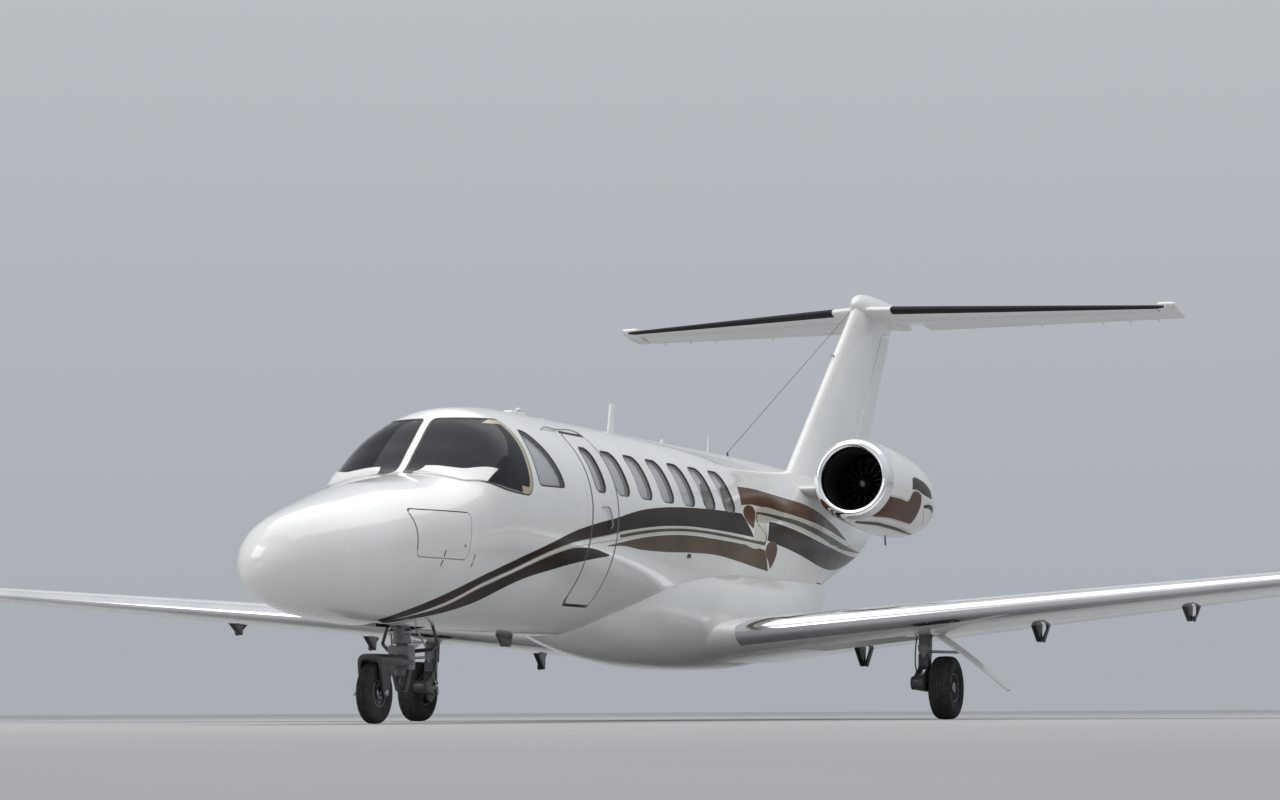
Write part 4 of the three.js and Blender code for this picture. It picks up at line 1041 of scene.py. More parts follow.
def door_gap_painted_shadow():
    """Painted shadow: dark bands in the seal colour on both sides of the cabin door's gap."""
    ring = [door_region(SWING_GAP + DOOR_SHADOW_WIDTH), door_region(SWING_GAP)]
    skin_piece("door_frame_painted_shadow", ring, DOOR_SPAN, DOOR_SHADOW_DEPTH, SEAL, AIRFRAME, "dark_metal")
    whole = keep(door_region(0.0), behind_door_front())
    inside = keep(door_region(-DOOR_SHADOW_WIDTH), behind_door_front(DOOR_SHADOW_WIDTH))
    skin_piece("door_leaf_painted_shadow", [whole, inside], DOOR_SPAN, DOOR_SHADOW_DEPTH, SEAL, DOOR_BODY, "dark_metal")


# The door's handle and the drip rail above it, as (x, station, z)
DOOR_HANDLE = [
    (0.816, 4.310, 1.729), (0.828, 4.330, 1.731), (0.829, 4.410, 1.734), (0.829, 4.468, 1.679),
    (0.829, 4.486, 1.622), (0.828, 4.484, 1.580), (0.814, 4.483, 1.564),
]
DRIP_RAIL = [
    (0.512, 3.760, 2.326), (0.504, 3.790, 2.338), (0.485, 4.103, 2.356), (0.478, 4.592, 2.360),
    (0.480, 4.640, 2.350),
]


def bent_bar(name, points, radius, sides, body):
    bar = tube("bar", [(x, at(station), z) for x, station, z in points], radius, STEEL, sides)
    bar.name = name
    place(bar, body, "polished_metal")


def make_cabin_door():
    leaf = hull_band(*DOOR_SPAN, 0.0, -DOOR_THICK, WHITE)
    keep(leaf, door_region(0.0), behind_door_front())
    carve(leaf, door_window_prism())
    line_inside(leaf, LINING, 0.95)
    finish_skin(leaf, "cabin_door_skin", DOOR_BODY, "cabin_door")
    span = (4.1, 4.6)
    inside = [door_window_prism(PANE_INSET)]
    skin_piece("door_pane", inside, span, THIN_PANE, CABIN_GLASS, DOOR_BODY, "glass", "door_window")
    ring = [door_window_prism(0.001), door_window_prism(-0.014)]
    skin_piece("door_window_seal", ring, span, THIN_SEAL, SEAL, DOOR_BODY, "dark_metal")
    centre = DOOR_WINDOW["centre"]
    shade = side_prism(shade_outline(centre, DOOR_WINDOW["half"], DOOR_WINDOW["corner"]))
    span = (centre - 0.2, centre + 0.2)
    skin_piece("door_window_shade", [shade], span, SHADE_DEPTH, SHADE, DOOR_BODY, "panel")
    door_gap_painted_shadow()
    bent_bar("cabin_door_handle", DOOR_HANDLE, 0.0065, 10, DOOR_BODY)
    bent_bar("door_drip_rail", DRIP_RAIL, 0.006, 8, AIRFRAME)


# Aerofoils
def airfoil(thickness, camber, steps=26):
    """An outline in parts of the chord, as (along, up) pairs from the nose over the top and back."""
    u = (1 - np.cos(np.linspace(0, np.pi, steps))) / 2
    shape = 0.2969 * np.sqrt(u) - 0.126 * u - 0.3516 * u**2 + 0.2843 * u**3 - 0.1036 * u**4
    half = 5 * thickness * shape + 0.0025 * u
    rise = camber * 4 * u * (1 - u)
    upper = np.stack([u, rise + half], axis=-1)
    lower = np.stack([u, rise - half], axis=-1)[:0:-1]
    return np.concatenate([upper, lower])


def wing_z(x):
    return 0.700 + 0.0795 * x


# Columns: x, leading edge station, chord, leading edge z, thickness, drop of the trailing edge
WING = np.array([
    (0.560, 6.820, 2.560, wing_z(0.560), 0.14, 0.078),
    (0.930, 7.060, 2.290, wing_z(0.930), 0.14, 0.078),
    (7.900, 7.420, 0.960, wing_z(7.900), 0.12, 0.032),
    (8.090, 7.530, 0.790, wing_z(8.090) + 0.008, 0.08, 0.032),
    (8.130, 7.680, 0.560, wing_z(8.130) + 0.012, 0.03, 0.032),
])
WING_CAMBER = 0.015
LE_PART = 0.075
FLAP = {"x0": 1.010, "x1": 4.960, "part": 0.76, "gap": 0.014}
AILERON = {"x0": 4.990, "x1": 7.700, "part": 0.79, "gap": 0.020}
HINGE_IN = {"x": 1.600, "station": 8.640, "z": 0.495}
HINGE_OUT = {"x": 4.710, "station": 8.345, "z": 0.857}
LEG_X = 2.420
BRACKET_XS = (1.600, 3.310, 4.700)


def wing_row(x):
    return np.array([np.interp(x, WING[:, 0], WING[:, i]) for i in range(WING.shape[1])])


def wing_ring(row):
    x, leading, chord, z, thickness, drop = row
    outline = airfoil(thickness, WING_CAMBER)
    u = outline[:, 0]
    v = outline[:, 1]
    return np.stack([np.full(len(u), x), at(leading + u * chord), z + (v - drop * u) * chord], axis=-1)


def wing_body(*materials):
    xs = [0.56, 0.93, 2.0, 4.0, 6.0, 7.9, 7.95, 8.0, 8.05, 8.09, 8.11, 8.13]
    return loft("wing", [wing_ring(wing_row(x)) for x in xs], *materials)


def chord_station(x, part):
    row = wing_row(x)
    return row[1] + part * row[2]


def chord_region(x0, x1, part0, part1, shift0=0.0, shift1=0.0):
    """An upright prism through the wing between two parts of its chord, each shifted aft."""
    outline = [
        (x0, at(chord_station(x0, part0) + shift0)),
        (x1, at(chord_station(x1, part0) + shift0)),
        (x1, at(chord_station(x1, part1) + shift1)),
        (x0, at(chord_station(x0, part1) + shift1)),
    ]
    return plate("region", "xy", outline, -0.5, 3.0)


FAIRING = np.array([
    # station, half width, middle z, bottom z
    (4.850, 0.330, 1.000, 0.735),
    (5.400, 0.510, 1.000, 0.655),
    (6.000, 0.660, 1.000, 0.575),
    (6.600, 0.755, 1.000, 0.512),
    (7.200, 0.805, 1.000, 0.470),
    (8.200, 0.830, 1.000, 0.455),
    (8.900, 0.815, 1.000, 0.475),
    (9.700, 0.740, 1.050, 0.580),
    (10.500, 0.580, 1.150, 0.800),
    (11.100, 0.420, 1.250, 1.060),
])
FAIRING_POWER = 0.8


def fairing_body(offset=0.0, *materials):
    rings = []
    angles = 2 * np.pi * np.arange(72) / 72
    c = np.cos(angles)
    s = np.sin(angles)
    for station, width, middle, bottom in smooth_path(FAIRING, 120, (1, 0, 0, 0)):
        x = (width + offset) * np.sign(c) * np.abs(c) ** FAIRING_POWER
        z = middle + (middle - bottom + offset) * np.sign(s) * np.abs(s) ** FAIRING_POWER
        rings.append(np.stack([x, np.full(72, at(station)), z], axis=-1))
    return loft("fairing", rings, *materials)


def hinge_point(x):
    t = (x - HINGE_IN["x"]) / (HINGE_OUT["x"] - HINGE_IN["x"])
    station = HINGE_IN["station"] + t * (HINGE_OUT["station"] - HINGE_IN["station"])
    return station, HINGE_IN["z"] + t * (HINGE_OUT["z"] - HINGE_IN["z"])


def flap_bracket(x):
    """A tapered plate under the wing whose lowest corner carries the flap hinge, near black as painted
    shade.
    """
    station, z = hinge_point(x)
    under = wing_row(x)[3] - 0.04
    outline = rounded_polygon([
        (at(station - 0.33), under), (at(station - 0.014), z - 0.012),
        (at(station + 0.014), z - 0.012), (at(station + 0.045), under),
    ], 0.02)
    body = plate("bracket", "yz", outline, x - 0.022, x + 0.022, PAINTED_BRACKET_SHADE)
    return bevelled(body, 0.006)


def flap_arm(x):
    station, z = hinge_point(x)
    top = wing_row(x)[3] - 0.06
    leading = chord_station(x, FLAP["part"]) + FLAP["gap"]
    side = x + 0.030
    outline = rounded_polygon([
        (at(station - 0.022), z - 0.008), (at(station + 0.022), z - 0.020), (at(leading + 0.2), top),
        (at(leading + 0.012), top + 0.01), (at(leading + 0.002), top - 0.105),
        (at(station - 0.022), z + 0.03),
    ], 0.02)
    # The arm is near black as painted shade, like the brackets
    return bevelled(plate("arm", "yz", outline, side, side + 0.016, PAINTED_BRACKET_SHADE), 0.003)


def both_sides(piece, stem, body, slot, node=""):
    """Places a left piece, and its mirror image on the right. Names end in left and right."""
    other = mirrored(piece, f"{stem}_right")
    piece.name = f"{stem}_left"
    for half, name in ((piece, "left"), (other, "right")):
        nodes = [node.replace("SIDE", name)] if node else []
        soften(half, 32)
        place(half, body.replace("SIDE", name), slot, *nodes)


def make_wings():
    edge = chord_region(0.93, 7.9, -0.2, LE_PART, -0.4, 0.0)
    flap_room = chord_region(FLAP["x0"] - 0.008, AILERON["x0"], FLAP["part"], 1.2, 0, 0.3)
    aileron_room = chord_region(AILERON["x0"] - 0.001, AILERON["x1"] + 0.010, AILERON["part"], 1.2, 0, 0.3)
    roof = wing_z(LEG_X) + 0.06
    leg_well = box("well", LEG_X - 0.11, LEG_X + 0.11, at(7.78), at(8.11), -0.5, roof)
    wheel_well = box("well", LEG_X - 1.06, LEG_X - 0.109, at(7.64), at(8.29), -0.5, wing_z(LEG_X) + 0.02)
    wing = wing_body(WHITE)
    carve(wing, edge, flap_room, aileron_room, leg_well, wheel_well)
    carve(wing, fairing_body(CLEAR), hull_body(4.0, 12.0, CLEAR))
    brackets = [flap_bracket(x) for x in BRACKET_XS]
    both_sides(wing, "wing_skin", AIRFRAME, "white_paint", "wing_SIDE")
    for i, bracket in enumerate(brackets):
        both_sides(bracket, f"flap_bracket_{i + 1}", AIRFRAME, "white_paint")
    leading = wing_body(POLISHED)
    keep(leading, chord_region(0.93, 7.9, -0.2, LE_PART, -0.4, -0.001))
    carve(leading, fairing_body(CLEAR))
    both_sides(leading, "wing_leading_edge", AIRFRAME, "polished_metal", "leading_edge_SIDE")


def make_wing_surfaces():
    flap = wing_body(WHITE)
    keep(flap, chord_region(FLAP["x0"], FLAP["x1"], FLAP["part"], 1.2, FLAP["gap"], 0.3))
    carve(flap, fairing_body(CLEAR))
    both_sides(flap, "flap_skin", "flap_SIDE_body", "white_paint", "flap_SIDE")
    for i, x in enumerate(BRACKET_XS):
        both_sides(flap_arm(x), f"flap_arm_{i + 1}", "flap_SIDE_body", "white_paint")
    aileron = wing_body(WHITE)
    keep(aileron, chord_region(AILERON["x0"], AILERON["x1"], AILERON["part"], 1.2, AILERON["gap"], 0.3))
    both_sides(aileron, "aileron_skin", "aileron_SIDE_body", "white_paint", "aileron_SIDE")


def make_belly_fairing():
    fairing = fairing_body(0.0, WHITE)
    carve(fairing, hull_body(4.5, 11.9, CLEAR))
    finish(fairing, "belly_fairing_skin", 40, AIRFRAME, "white_paint", "belly_fairing")


# Engines
ENGINE_X = 1.180
ENGINE_INLET = 9.620
ENGINE_Z = 2.288
ENGINE_TILT = 0.085
ENGINE_LENGTH = 2.050
DUCT = 0.292
FAN_BLADES = 16
BLADE_ROOT = 0.085
ENGINE_WAY = Vector((0, math.cos(ENGINE_TILT), -math.sin(ENGINE_TILT)))


def engine_point(along, side=1):
    return Vector((side * ENGINE_X, at(ENGINE_INLET), ENGINE_Z)) + along * ENGINE_WAY


# Profiles as (radius, distance behind the lip)
NACELLE_OUTER = [
    (0.397, 0.110), (0.414, 0.400), (0.418, 0.850), (0.408, 1.200), (0.365, 1.550), (0.285, 1.850),
    (0.225, 2.050),
]
NACELLE_INNER = [
    (0.213, 2.048), (0.240, 1.940), (0.285, 1.780), (0.325, 1.550), (0.345, 1.350), (0.345, 0.900),
    (DUCT, 0.700), (DUCT, 0.500), (DUCT, 0.350), (DUCT, 0.200), (0.297, 0.150), (0.304, 0.110),
]
INLET_LIP = [
    (0.304, 0.1095), (0.296, 0.050), (0.308, 0.012), (0.332, 0.000), (0.360, 0.010), (0.386, 0.055),
    (0.397, 0.1095),
]
ENGINE_CORE = [
    (0.0005, 0.5603), (0.045, 0.5603), (0.045, 0.640), (0.235, 0.640), (0.250, 0.880), (0.3447, 0.930),
    (0.3447, 0.990), (0.250, 1.010), (0.250, 1.230), (0.3447, 1.250), (0.3447, 1.310), (0.235, 1.330),
    (0.222, 1.420), (0.200, 1.500), (0.175, 1.640), (0.140, 1.750), (0.080, 1.880), (0.0005, 1.960),
]
SPINNER_NOSE = [(0.0005, 0.325), (0.030, 0.338), (0.062, 0.378), (0.090, 0.430), (0.100, 0.470)]


def nacelle_radius(along):
    """The nacelle's radius at a distance behind its lip, on a smooth curve."""
    table = np.array([(0.375, 0.0), *NACELLE_OUTER])
    path = smooth_path(table[:, ::-1], 200)
    return np.interp(along, path[:, 0], path[:, 1])


def inside_nacelle(centres, origin):
    away = centres - np.array(origin)
    along = away @ np.array(ENGINE_WAY)
    radius = np.linalg.norm(away - along[:, None] * np.array(ENGINE_WAY), axis=1)
    return radius < nacelle_radius(along) - 0.006


def make_nacelle(name, origin):
    outer = [(float(nacelle_radius(a)), a) for a in np.linspace(0.110, ENGINE_LENGTH, 60)]
    nacelle = turned_loop("nacelle", outer + NACELLE_INNER, origin, ENGINE_WAY, 128, WHITE)
    # Faces inside the nacelle take the near black of painted shade
    paint_faces(nacelle, DUCT_PAINTED_SHADE, lambda centres: inside_nacelle(centres, origin))
    finish(nacelle, f"nacelle_skin_{name}", 30, AIRFRAME, "white_paint", f"nacelle_{name}")


def make_engine(side, name):
    origin = engine_point(0, side)
    make_nacelle(name, origin)
    ring = turned_loop("lip", smooth_path(INLET_LIP, 40), origin, ENGINE_WAY, 128, CHROME)
    finish(ring, f"inlet_lip_ring_{name}", 40, AIRFRAME, "polished_metal", f"inlet_lip_{name}")
    engine = turned("core", ENGINE_CORE, origin, ENGINE_WAY, 72, DARK_STEEL)
    finish(engine, f"engine_core_{name}", 40, AIRFRAME, "dark_metal", f"engine_{name}")
    make_fan(name, origin)


def fan_blade(angle, origin):
    """One twisted blade, as a thin body through sections from the hub outwards."""
    along, right, up = (np.array(v) for v in basis(ENGINE_WAY))
    rings = []
    for t in np.linspace(0, 1, 9):
        radius = BLADE_ROOT + t * (DUCT - 0.008 - BLADE_ROOT)
        twist = 0.35 + 0.75 * t
        half = 0.046 + 0.030 * t
        thick = 0.0052 - 0.0034 * t
        lean = angle + 0.12 * t * t
        out = math.cos(lean) * right + math.sin(lean) * up
        around = -math.sin(lean) * right + math.cos(lean) * up
        chord = math.cos(twist) * along + math.sin(twist) * around
        face = -math.sin(twist) * along + math.cos(twist) * around
        middle = np.array(origin) + 0.495 * along + radius * out
        ring = []
        for a in np.linspace(0, 2 * np.pi, 14, endpoint=False):
            bow = 0.006 * (1 - math.cos(a) ** 2)
            ring.append(middle + (half * math.cos(a) * chord + (thick * math.sin(a) + bow) * face))
        rings.append(ring)
    return loft("blade", rings, FAN_METAL)


def make_fan(name, origin):
    spinner = smooth_path(SPINNER_NOSE, 18)
    profile = [*spinner, (0.100, 0.558), (0.0005, 0.558)]
    pieces = [soften(turned("hub", profile, origin, ENGINE_WAY, 48, SPINNER), 40)]
    for i in range(FAN_BLADES):
        pieces.append(soften(fan_blade(2 * math.pi * (i + 0.5) / FAN_BLADES, origin), 50))
    fan = join(f"fan_rotor_{name}", pieces)
    place(fan, f"fan_{name}_body", "dark_metal", f"fan_{name}")


PYLON = {"leading": 9.800, "chord": 1.750, "z": 2.215, "drop": 0.045}
PYLON_XS = (0.45, 0.6, 0.75, 0.9)


def pylon_body():
    outline = airfoil(0.07, 0.0)
    rings = []
    for x in PYLON_XS:
        y = at(PYLON["leading"] + outline[:, 0] * PYLON["chord"])
        z = PYLON["z"] + (outline[:, 1] - PYLON["drop"] * outline[:, 0]) * PYLON["chord"]
        rings.append(np.stack([np.full(len(outline), x), y, z], axis=-1))
    return loft("pylon", rings, WHITE)


def make_pylon(side, name):
    pylon = on_side(pylon_body(), side)
    skin = [(float(nacelle_radius(a)) + FIT_GAP, a) for a in np.linspace(0, ENGINE_LENGTH, 40)]
    outer = [(0.0005, 0.0), *skin, (0.0005, ENGINE_LENGTH)]
    nacelle = turned("room", outer, engine_point(0, side), ENGINE_WAY, 128)
    carve(pylon, nacelle, hull_body(9.0, 12.2, FIT_GAP))
    finish(pylon, f"pylon_skin_{name}", 32, AIRFRAME, "white_paint")


def make_tail_fuselage():
    tail = hull_body(CABIN_END + CABIN_JOINT, TAIL_CONE_START - CONE_JOINT, 0.0, WHITE)
    pocket = carve(panel_prism(TAIL_DOOR, SWING_GAP), hull_body(*TAIL_SPAN, -TAIL_DOOR["thick"] - FIT_GAP))
    carve(tail, pocket, bag_bay(TAIL_DOOR, -0.1, 0.9, 0.03), fin_body(FIT_GAP))
    line_inside(tail, BAY_GREY, 0.93)
    finish_skin(tail, "tail_fuselage_skin", AIRFRAME, "aft_fuselage")
    cone = hull_body(TAIL_CONE_START + CONE_JOINT, TAIL_END, 0.0, WHITE)
    carve(cone, fin_body(FIT_GAP))
    finish_skin(cone, "tail_cone_skin", AIRFRAME, "tail_cone")
    door = hull_band(*TAIL_SPAN, 0.0, -TAIL_DOOR["thick"], WHITE)
    keep(door, panel_prism(TAIL_DOOR, 0.0))
    line_inside(door, BAY_GREY, 0.97)
    finish_skin(door, "tail_baggage_door_skin", "tail_baggage_door_body", "tail_baggage_door")
    for side, name in SIDES:
        make_pylon(side, name)


# Fin, rudder, stabilizer and elevator
FIN = np.array([
    # z, leading edge station, chord, thickness
    (2.300, 10.950, 2.330, 0.085),
    (2.700, 11.410, 2.200, 0.090),
    (4.440, 13.420, 1.380, 0.100),
])
FIN_ROOT = 2.700
FIN_TOP = 4.440
FIN_HEIGHT = 1.740
FIN_LEVELS = (2.300, 2.450, 2.580, 2.700, 3.000, 3.500, 4.000, 4.440)
RUDDER = {"low": 2.480, "high": 4.180, "bevel": 0.55, "part": 0.72, "gap": 0.012}


def fin_row(z):
    return [np.interp(z, FIN[:, 0], FIN[:, i]) for i in range(4)]


def fin_loft(offset=0.0, *materials):
    rings = []
    for z in FIN_LEVELS:
        _, leading, chord, thickness = fin_row(z)
        outline = airfoil(thickness, 0.0)
        x = outline[:, 1] * chord + np.sign(outline[:, 1]) * offset
        rings.append(np.stack([x, at(leading + outline[:, 0] * chord), np.full(len(x), z)], axis=-1))
    return loft("fin", rings, *materials)


def fin_station(z, part):
    _, leading, chord, _ = fin_row(z)
    return leading + part * chord


def rudder_hinge(z):
    root = fin_station(FIN_ROOT, RUDDER["part"])
    tip = fin_station(FIN_TOP, RUDDER["part"])
    return root + (z - FIN_ROOT) * (tip - root) / FIN_HEIGHT


def rudder_side(z0, z1, shift):
    outline = [
        (at(rudder_hinge(z0) + shift), z0), (at(fin_station(z0, 1) + 0.4), z0),
        (at(fin_station(z1, 1) + 0.4), z1), (at(rudder_hinge(z1) + shift), z1),
    ]
    return plate("side", "yz", outline, -0.4, 0.4)


def fin_body(offset, *materials):
    fin = fin_loft(offset, *materials)
    return carve(fin, rudder_side(RUDDER["low"] - 0.04, RUDDER["high"] + 0.03, 0.0))


def rudder_bevel(side):
    rings = []
    for z in (RUDDER["low"] - 0.05, RUDDER["high"] + 0.05):
        hinge = at(rudder_hinge(z) + RUDDER["gap"])
        rings.append([
            (0, hinge, z), (side * 0.4, hinge - 0.1, z), (side * 0.4, hinge + 0.4 * RUDDER["bevel"], z),
        ])
    return loft("bevel", rings)


BULLET = np.array([
    # station, half width, half height, middle z
    (13.340, 0.008, 0.008, 4.430),
    (13.400, 0.050, 0.070, 4.430),
    (13.500, 0.080, 0.115, 4.430),
    (13.650, 0.098, 0.138, 4.432),
    (13.900, 0.110, 0.1475, 4.435),
    (14.400, 0.112, 0.146, 4.432),
    (14.700, 0.105, 0.135, 4.428),
    (15.000, 0.085, 0.100, 4.415),
    (15.400, 0.035, 0.040, 4.395),
    (15.500, 0.012, 0.014, 4.390),
])


def bullet_body(offset=0.0, *materials):
    rows = smooth_path(BULLET, 60, (1, 0, 0, 0))
    rings = []
    angles = 2 * np.pi * np.arange(48) / 48
    for station, width, height, z in rows:
        x = (width + offset) * np.cos(angles)
        high = z + (height + offset) * np.sin(angles)
        rings.append(np.stack([x, np.full(48, at(station)), high], axis=-1))
    return loft("bullet", rings, *materials)


def make_fin():
    fin = fin_body(0.0, WHITE)
    carve(fin, bullet_body(FIT_GAP))
    finish(fin, "fin_skin", 32, AIRFRAME, "white_paint", "fin")
    rudder = fin_loft(0.0, WHITE)
    keep(rudder, rudder_side(RUDDER["low"], RUDDER["high"], RUDDER["gap"]))
    carve(rudder, rudder_bevel(1), rudder_bevel(-1))
    finish(rudder, "rudder_skin", 28, "rudder_body", "white_paint", "rudder")


STAB_Z = 4.390
STAB_TIP = 3.018
STAB_LEADING = (13.500, 14.600)
STAB_REACH = 3.176
STAB_TRAILING = 15.190
BOOT_INNER = 0.330
BOOT_OUTER = 3.110
ELEVATOR = {"hinge": 14.820, "gap": 0.024, "inner": 0.320, "droop": 0.17}
HORN = {"inner": 3.030, "outer": 3.215, "leading": 14.612, "room": 14.584}
WICK_PLACES = (1.58, 2.27, 2.58, 2.90)


def stab_ring(x, leading, chord, thickness):
    outline = airfoil(thickness, 0.0)
    y = at(leading + outline[:, 0] * chord)
    return np.stack([np.full(len(y), x), y, STAB_Z + outline[:, 1] * chord], axis=-1)


def stab_leading(x):
    return STAB_LEADING[0] + x / STAB_REACH * (STAB_LEADING[1] - STAB_LEADING[0])


def stab_half(*materials):
    rings = []
    tip = (STAB_REACH - 0.025, STAB_REACH - 0.006, STAB_REACH)
    for x in (0.0, BOOT_INNER, 1.0, 2.0, 3.0, BOOT_OUTER, *tip):
        t = x / STAB_REACH
        leading = stab_leading(x)
        rounding = max(0.0, (x - STAB_REACH + 0.025) / 0.025) ** 2
        thickness = (0.085 + t * 0.015) * (1 - 0.6 * rounding)
        chord = STAB_TRAILING - leading - 0.02 * rounding
        rings.append(stab_ring(x, leading + 0.02 * rounding, chord, thickness))
    return loft("stab", rings, *materials)


def droop(piece):
    middle = Vector((0, at(ELEVATOR["hinge"]), STAB_Z))
    turn = Matrix.Rotation(-ELEVATOR["droop"], 4, "X")
    piece.data.transform(Matrix.Translation(middle) @ turn @ Matrix.Translation(-middle))
    return piece


def hinge_tube(half, radius, *materials):
    y = at(ELEVATOR["hinge"])
    return rod("tube", (-half, y, STAB_Z), (half, y, STAB_Z), radius, *materials)


def stab_room(x0, x1, start):
    return box("room", x0, x1, start, at(LENGTH), 4.0, 4.8)


def on_boot(centres):
    """Whether points lie on the black strip along the stabilizer's leading edge."""
    x = centres[:, 0]
    part = (centres[:, 1] + MIDDLE - stab_leading(x)) / (STAB_TRAILING - stab_leading(x))
    return (part < 0.064) & (x > BOOT_INNER) & (x < BOOT_OUTER)


def make_stabilizer_half(side, name):
    half = stab_half(WHITE)
    carve(half, stab_room(ELEVATOR["inner"] - 0.012, HORN["outer"], at(ELEVATOR["hinge"] - ELEVATOR["gap"])))
    carve(half, stab_room(STAB_TIP, HORN["outer"], at(HORN["room"])))
    carve(half, bullet_body(0.0))
    carve(half, hinge_tube(0.4, 0.032))
    paint_faces(half, BOOT, on_boot)
    finish(on_side(half, side), f"stabilizer_skin_{name}", 30, AIRFRAME, "white_paint")


def elevator_horn():
    """The balance horn outboard of the stabilizer's tip, rounded off at its end."""
    leading = HORN["leading"]
    outer = HORN["outer"]
    chord = STAB_TRAILING - leading
    return loft("horn", [
        stab_ring(HORN["inner"], leading, chord, 0.17),
        stab_ring(outer - 0.026, leading, chord, 0.16),
        stab_ring(outer - 0.009, leading + 0.015, chord - 0.025, 0.13),
        stab_ring(outer, leading + 0.04, chord - 0.06, 0.06),
    ], WHITE)


def make_elevator():
    surface = keep(stab_half(WHITE), stab_room(ELEVATOR["inner"], STAB_TIP, at(ELEVATOR["hinge"])))
    horn = elevator_horn()
    joiner = box(
        "joiner", STAB_TIP - 0.1, HORN["inner"] + 0.02,
        at(ELEVATOR["hinge"] + 0.04), at(STAB_TRAILING - 0.12), STAB_Z - 0.008, STAB_Z + 0.008, WHITE,
    )
    parts = {"elevator_skin": surface, "elevator_horn": horn, "elevator_joiner": joiner}
    for stem, piece in parts.items():
        droop(piece)
        other = mirrored(piece, "other")
        finish(piece, f"{stem}_left", 30, "elevator_body", "white_paint")
        finish(other, f"{stem}_right", 30, "elevator_body", "white_paint")
    torque_tube = droop(hinge_tube(ELEVATOR["inner"] + 0.03, 0.024, STEEL))
    finish(torque_tube, "elevator_torque_tube", 35, "elevator_body", "dark_metal", "elevator")


def make_static_wicks():
    wicks = []
    for x in WICK_PLACES:
        for side in (1, -1):
            start = (side * x, at(STAB_TRAILING - 0.010), STAB_Z)
            end = (side * (x + 0.01), at(STAB_TRAILING + 0.100), STAB_Z - 0.006)
            wicks.append(droop(rod("wick", start, end, 0.0028, DARK_STEEL, sides=8, end_radius=0.0018)))
    place(soften(join("static_wicks", wicks)), "elevator_body", "dark_metal")


def make_stabilizer():
    for side, name in SIDES:
        make_stabilizer_half(side, name)
    bullet = bullet_body(0.0, WHITE)
    carve(bullet, hinge_tube(0.4, 0.032))
    finish(bullet, "bullet_skin", 45, AIRFRAME, "white_paint", "stabilizer")
    make_elevator()
    make_static_wicks()


# Wheels and gear
NOSE_AXLE = {"station": 1.824, "z": 0.228, "end": 0.112}
NOSE_TYRE = {"radius": 0.228, "width": 0.112, "rim": 0.110, "holes": 8}
MAIN_AXLE = {"station": 7.964, "x": 2.590, "z": 0.279}
MAIN_TYRE = {"radius": 0.279, "width": 0.197, "rim": 0.132, "holes": 9}
AXLE_RADIUS = 0.024
TREAD_GROOVES = (-0.42, -0.14, 0.14, 0.42)
GROOVE_HALF = 0.0032
GROOVE_DEPTH = 0.006
HUB_CAP = [(0.030, 0.0), (0.046, 0.004), (0.048, 0.016), (0.036, 0.026), (0.030, 0.027)]


def tyre_profile(size):
    """A tyre's closed section as (radius, across) pairs, with round shoulders and grooves in its tread."""
    half = size["width"] / 2
    r = size["radius"]
    rim = size["rim"]
    side = smooth_path([
        (rim, half * 0.72), (rim + 0.012, half * 0.80), (r * 0.66, half * 0.97), (r * 0.76, half),
        (r * 0.88, half * 0.93), (r * 0.955, half * 0.78), (r * 0.988, half * 0.60),
    ], 26)
    tread = []
    for across in np.linspace(0.58, -0.58, 47) * half:
        crown = r - 0.012 * r / 0.228 * (across / half) ** 2 * 0.9
        nearest = min(abs(across - groove * half) for groove in TREAD_GROOVES)
        tread.append((crown - (GROOVE_DEPTH if nearest < GROOVE_HALF else 0.0), across))
    other = [(radius, -across) for radius, across in side[::-1]]
    return [*[tuple(p) for p in side], *tread, *other]


def wheel_profile(half, rim, bore):
    """A wheel's closed section as (radius, across) pairs, the same on both sides of its middle."""
    one = [
        (bore, 0.55), (rim * 0.42, 0.52), (rim * 0.50, 0.40), (rim * 0.80, 0.30), (rim * 0.88, 0.38),
        (rim * 0.90, 0.62), (rim * 0.915, 0.78), (rim * 0.975, 0.80), (rim - 0.0003, 0.70),
    ]
    near = [(radius, -half * part) for radius, part in one]
    far = [(radius, half * part) for radius, part in reversed(one)]
    return near + far


def hex_bolt(place_at, direction, radius, height, material):
    head = turned("bolt", [
        (radius * 0.86, 0), (radius, height * 0.12), (radius, height * 0.8), (radius * 0.8, height),
    ], place_at, direction, 6, material)
    return soften(head, 30)


def around_axle(origin, radius, i, count):
    """The y and z of one of several evenly spaced places round an axle."""
    a = 2 * math.pi * i / count
    return origin[1] + radius * math.cos(a), origin[2] + radius * math.sin(a)


def rim_pieces(origin, size):
    """A rim with lightening holes, and a ring of bolts on both of its faces."""
    x = origin[0]
    half = size["width"] / 2
    rim = size["rim"]
    holes = size["holes"]
    profile = wheel_profile(half, rim, AXLE_RADIUS + 0.0005)
    ring = turned_loop("rim", profile, origin, (1, 0, 0), 96, RIM_PAINT)
    drills = []
    for i in range(holes):
        y, z = around_axle(origin, rim * 0.66, i, holes)
        drills.append(rod("drill", (x - half, y, z), (x + half, y, z), rim * 0.105, sides=20))
    pieces = [soften(carve(ring, *drills), 32)]
    for sign in (-1, 1):
        for i in range(holes):
            spot = (x + sign * half * 0.31, *around_axle(origin, rim * 0.70, i + 0.5, holes))
            pieces.append(hex_bolt(spot, (sign, 0, 0), 0.0075, 0.008, STEEL))
    return pieces


